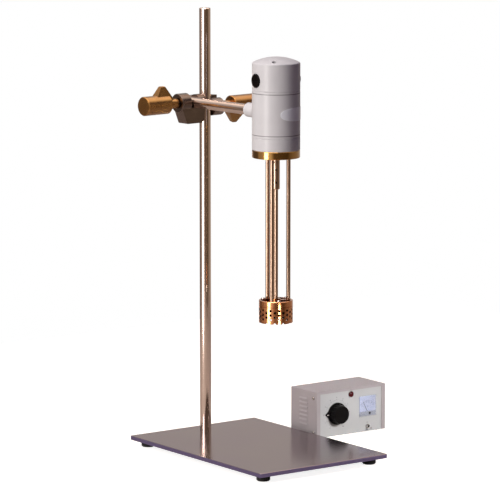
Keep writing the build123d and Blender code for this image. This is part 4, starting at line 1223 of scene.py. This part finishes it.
@dataclass
class Studio:
    """Floor, light and camera of the photograph.

    Angles are in degrees, places and sizes in metres, and the lens and its sensor in millimetres.
    The offset is the camera's place from the foot of the stand rod. The card points a little to
    the right of the stator, which keeps its beam off the stand rod.
    """

    tilt: float = 8.77
    heading: float = 36.07
    lens: float = 252.0
    sensor: float = 36.0
    farthest: float = 200.0
    offset: Place = (-3.9066, -5.5114, 1.4254)
    floor_size: float = 2.6
    floor_drop: float = 0.2 * MM
    floor_colour: Colour = (0.56, 0.49, 0.42)
    floor_glow: float = 0.88
    zenith: Colour = (1.7, 1.5, 1.3)
    sky_from: tuple[float, float] = (0.2, 0.42)
    zenith_from: tuple[float, float] = (0.55, 0.75)
    middle: Place = (0.08, -0.15, 0.45)
    card_aside: float = 0.02
    key: Lamp = Lamp("key", (-2.22, 2.10, 0.7), (1.0, 3.4), 97.0, (255, 250, 246))
    top: Lamp = Lamp("top", (-0.4, 0.3, 2.4), (1.0, 1.0), 30.0, (255, 248, 250))
    front: Lamp = Lamp("front", (1.6, 1.6, 1.1), (0.3, 0.3), 0.56, (255, 252, 250), 14.0)
    card: Lamp = Lamp(
        "card", (0.048, 0.134, -0.025), (0.05, 0.05), 0.0042, (255, 244, 232), 24.0
    )

    def right(self) -> Vector:
        """The camera's right."""
        return Matrix.Rotation(math.radians(-self.heading), 3, "Z") @ Vector((1, 0, 0))

    def level(self) -> Vector:
        """The camera's forward direction, kept level."""
        return Matrix.Rotation(math.radians(-self.heading), 3, "Z") @ Vector((0, 1, 0))

    def camera(self, stand: Vector) -> None:
        """Sets up the camera.

        Args:
            stand: the foot of the stand rod's axis on the bench.
        """
        data = bpy.data.cameras.new("camera")
        data.sensor_width = self.sensor
        data.lens = self.lens
        data.clip_end = self.farthest
        eye = bpy.data.objects.new("camera", data)
        eye.location = stand + Vector(self.offset)
        eye.rotation_euler = (math.radians(90 - self.tilt), 0, math.radians(-self.heading))
        bpy.context.scene.collection.objects.link(eye)
        bpy.context.scene.camera = eye

    def floor(self) -> None:
        """Large pale floor that goes white for the camera and keeps the shadows."""
        made = bmesh.new()
        bmesh.ops.create_grid(made, x_segments=1, y_segments=1, size=self.floor_size / 2)
        bmesh.ops.translate(made, vec=(0, 0, -self.floor_drop), verts=made.verts)
        mesh = bpy.data.meshes.new("floor")
        made.to_mesh(mesh)
        made.free()
        floor = bpy.data.objects.new("floor", mesh)
        bpy.context.scene.collection.objects.link(floor)
        material = bpy.data.materials.new("floor")
        material.use_nodes = True
        graph = Graph(material.node_tree)
        path = graph.add("ShaderNodeLightPath", output="Is Camera Ray")
        glow = (self.floor_glow, self.floor_glow, self.floor_glow, 1.0)
        graph.surface(
            Base_Color=(*self.floor_colour, 1.0),
            Roughness=0.8,
            Emission_Color=graph.mix(path, (0.0, 0.0, 0.0, 1.0), glow),
            Emission_Strength=1.0,
        )
        mesh.materials.append(material)

    def world(self) -> None:
        """Soft surroundings in pale and brown bands, lighter above, that the camera sees white."""
        world = bpy.data.worlds.new("studio")
        bpy.context.scene.world = world
        world.use_nodes = True
        graph = Graph(world.node_tree)
        way = graph.add("ShaderNodeTexCoord", output="Generated")

        def along(direction: Vector) -> Wire:
            """How far the ray points in a direction.

            Args:
                direction: the direction, one long.

            Returns:
                The share, from -1 to 1.
            """
            settings = {"operation": "DOT_PRODUCT"}
            inputs = {0: way, 1: tuple(direction)}
            return graph.add("ShaderNodeVectorMath", settings, inputs, "Value")

        side = graph.maths("ARCTAN2", along(self.right()), along(-self.level()))
        turn = side.clamped(-math.pi, math.pi)
        rise = along(Vector((0, 0, 1)))
        dome = graph.mix(rise.clamped(*self.sky_from), turn.ramp(RING), turn.ramp(SKY))
        dome = graph.mix(rise.clamped(*self.zenith_from), dome, (*self.zenith, 1.0))
        camera = graph.add("ShaderNodeLightPath", output="Is Camera Ray")
        through = graph.add("ShaderNodeLightPath", output="Is Transmission Ray")
        glossy = graph.add("ShaderNodeLightPath", output="Is Glossy Ray")
        seen = graph.mix(glossy, turn.ramp(FILL), dome)
        colour = graph.mix(graph.maths("MAXIMUM", camera, through), seen, (1, 1, 1, 1))
        background = graph.add("ShaderNodeBackground", {}, {"Color": colour, "Strength": 1.0})
        graph.add("ShaderNodeOutputWorld", {}, {"Surface": background})

    def hang(self, lamp: Lamp, target: Vector) -> None:
        """Adds a lamp.

        Args:
            lamp: the lamp.
            target: what it points at.
        """
        aside, near, above = lamp.place
        data = bpy.data.lights.new(lamp.name, "AREA")
        data.shape = "RECTANGLE"
        data.size, data.size_y = lamp.size
        data.spread = math.radians(lamp.spread)
        data.energy = lamp.power
        data.color = linear(lamp.colour)[:3]
        light = bpy.data.objects.new(lamp.name, data)
        place = target + self.right() * aside - self.level() * near + Vector((0, 0, above))
        light.location = place
        light.rotation_euler = (target - place).to_track_quat("-Z", "Y").to_euler()
        light.visible_camera = False
        bpy.context.scene.collection.objects.link(light)

    def build(self, stand: Vector, panel: Vector, stator: Vector) -> None:
        """Sets up the whole studio.

        Args:
            stand: the foot of the stand rod's axis on the bench.
            panel: middle of the controller's front.
            stator: middle of the stator.
        """
        bpy.context.scene.view_settings.view_transform = "Standard"
        self.camera(stand)
        self.floor()
        self.world()
        target = stand + Vector(self.middle)
        self.hang(self.key, target)
        self.hang(self.top, target)
        self.hang(self.front, panel)
        self.hang(self.card, stator + self.right() * self.card_aside)


def centre_of(node: str) -> Vector:
    """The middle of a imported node's box."""
    low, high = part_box(node)
    return (low + high) / 2


def main() -> None:
    """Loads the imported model, dresses it and sets the studio."""
    logging.basicConfig(level=logging.INFO, format="%(message)s")
    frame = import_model()
    motor = centre_of("motor_shaft")
    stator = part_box("stator")
    # The stator's metal inside this radius is darkened as painted shade.
    shade_radius = (stator[1].x - stator[0].x) / 2 - POLISHED_DEPTH
    # Heights of the painted shade lines at the seams of the motor head.
    seams = (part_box("top_cap")[0].z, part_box("lower_collar")[1].z)
    finishes = Finishes(seams, (motor.x, motor.y), shade_radius)
    made = finishes.dress(frame["nodes"], frame["record"]["subparts"])
    stand = centre_of("stand_rod")
    stand.z = 0.0
    Studio().build(stand, centre_of("front_panel"), centre_of("stator"))

    ink = Ink("dark print", (52, 52, 60)).material()
    white = Ink("white inlay", (236, 236, 232)).material()
    badge = Paint("badge enamel", (232, 234, 240), roughness=0.3, coat=0.5, peel=0.01 * MM)
    mask = Moulding("meter mask", (130, 132, 144), grain=1200.0, depth=0.01 * MM)

    reach = next(joint for joint in frame["joints"] if joint["name"] == "arm_reach")["axis"]
    swing = math.degrees(math.atan2(reach[1], reach[0]))
    low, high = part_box("lower_collar")
    housing = (high.x - low.x) / 2
    Badge().build(motor, housing, centre_of("arm_bar").z, swing, badge.material())

    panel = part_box("front_panel")[0].y
    knob_axis = centre_of("regulator_shaft")
    faceplate = Faceplate()
    faceplate.dial(panel, knob_axis, ink)
    faceplate.pointer(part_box("speed_knob"), knob_axis, white)
    faceplate.switch_words(panel, centre_of("toggle_body"), ink)
    meter = MeterFace(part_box("meter_glass"))
    meter.scale(ink)
    meter.trim(made["black_plastic"], mask.material())


if __name__ == "__main__":
    main()
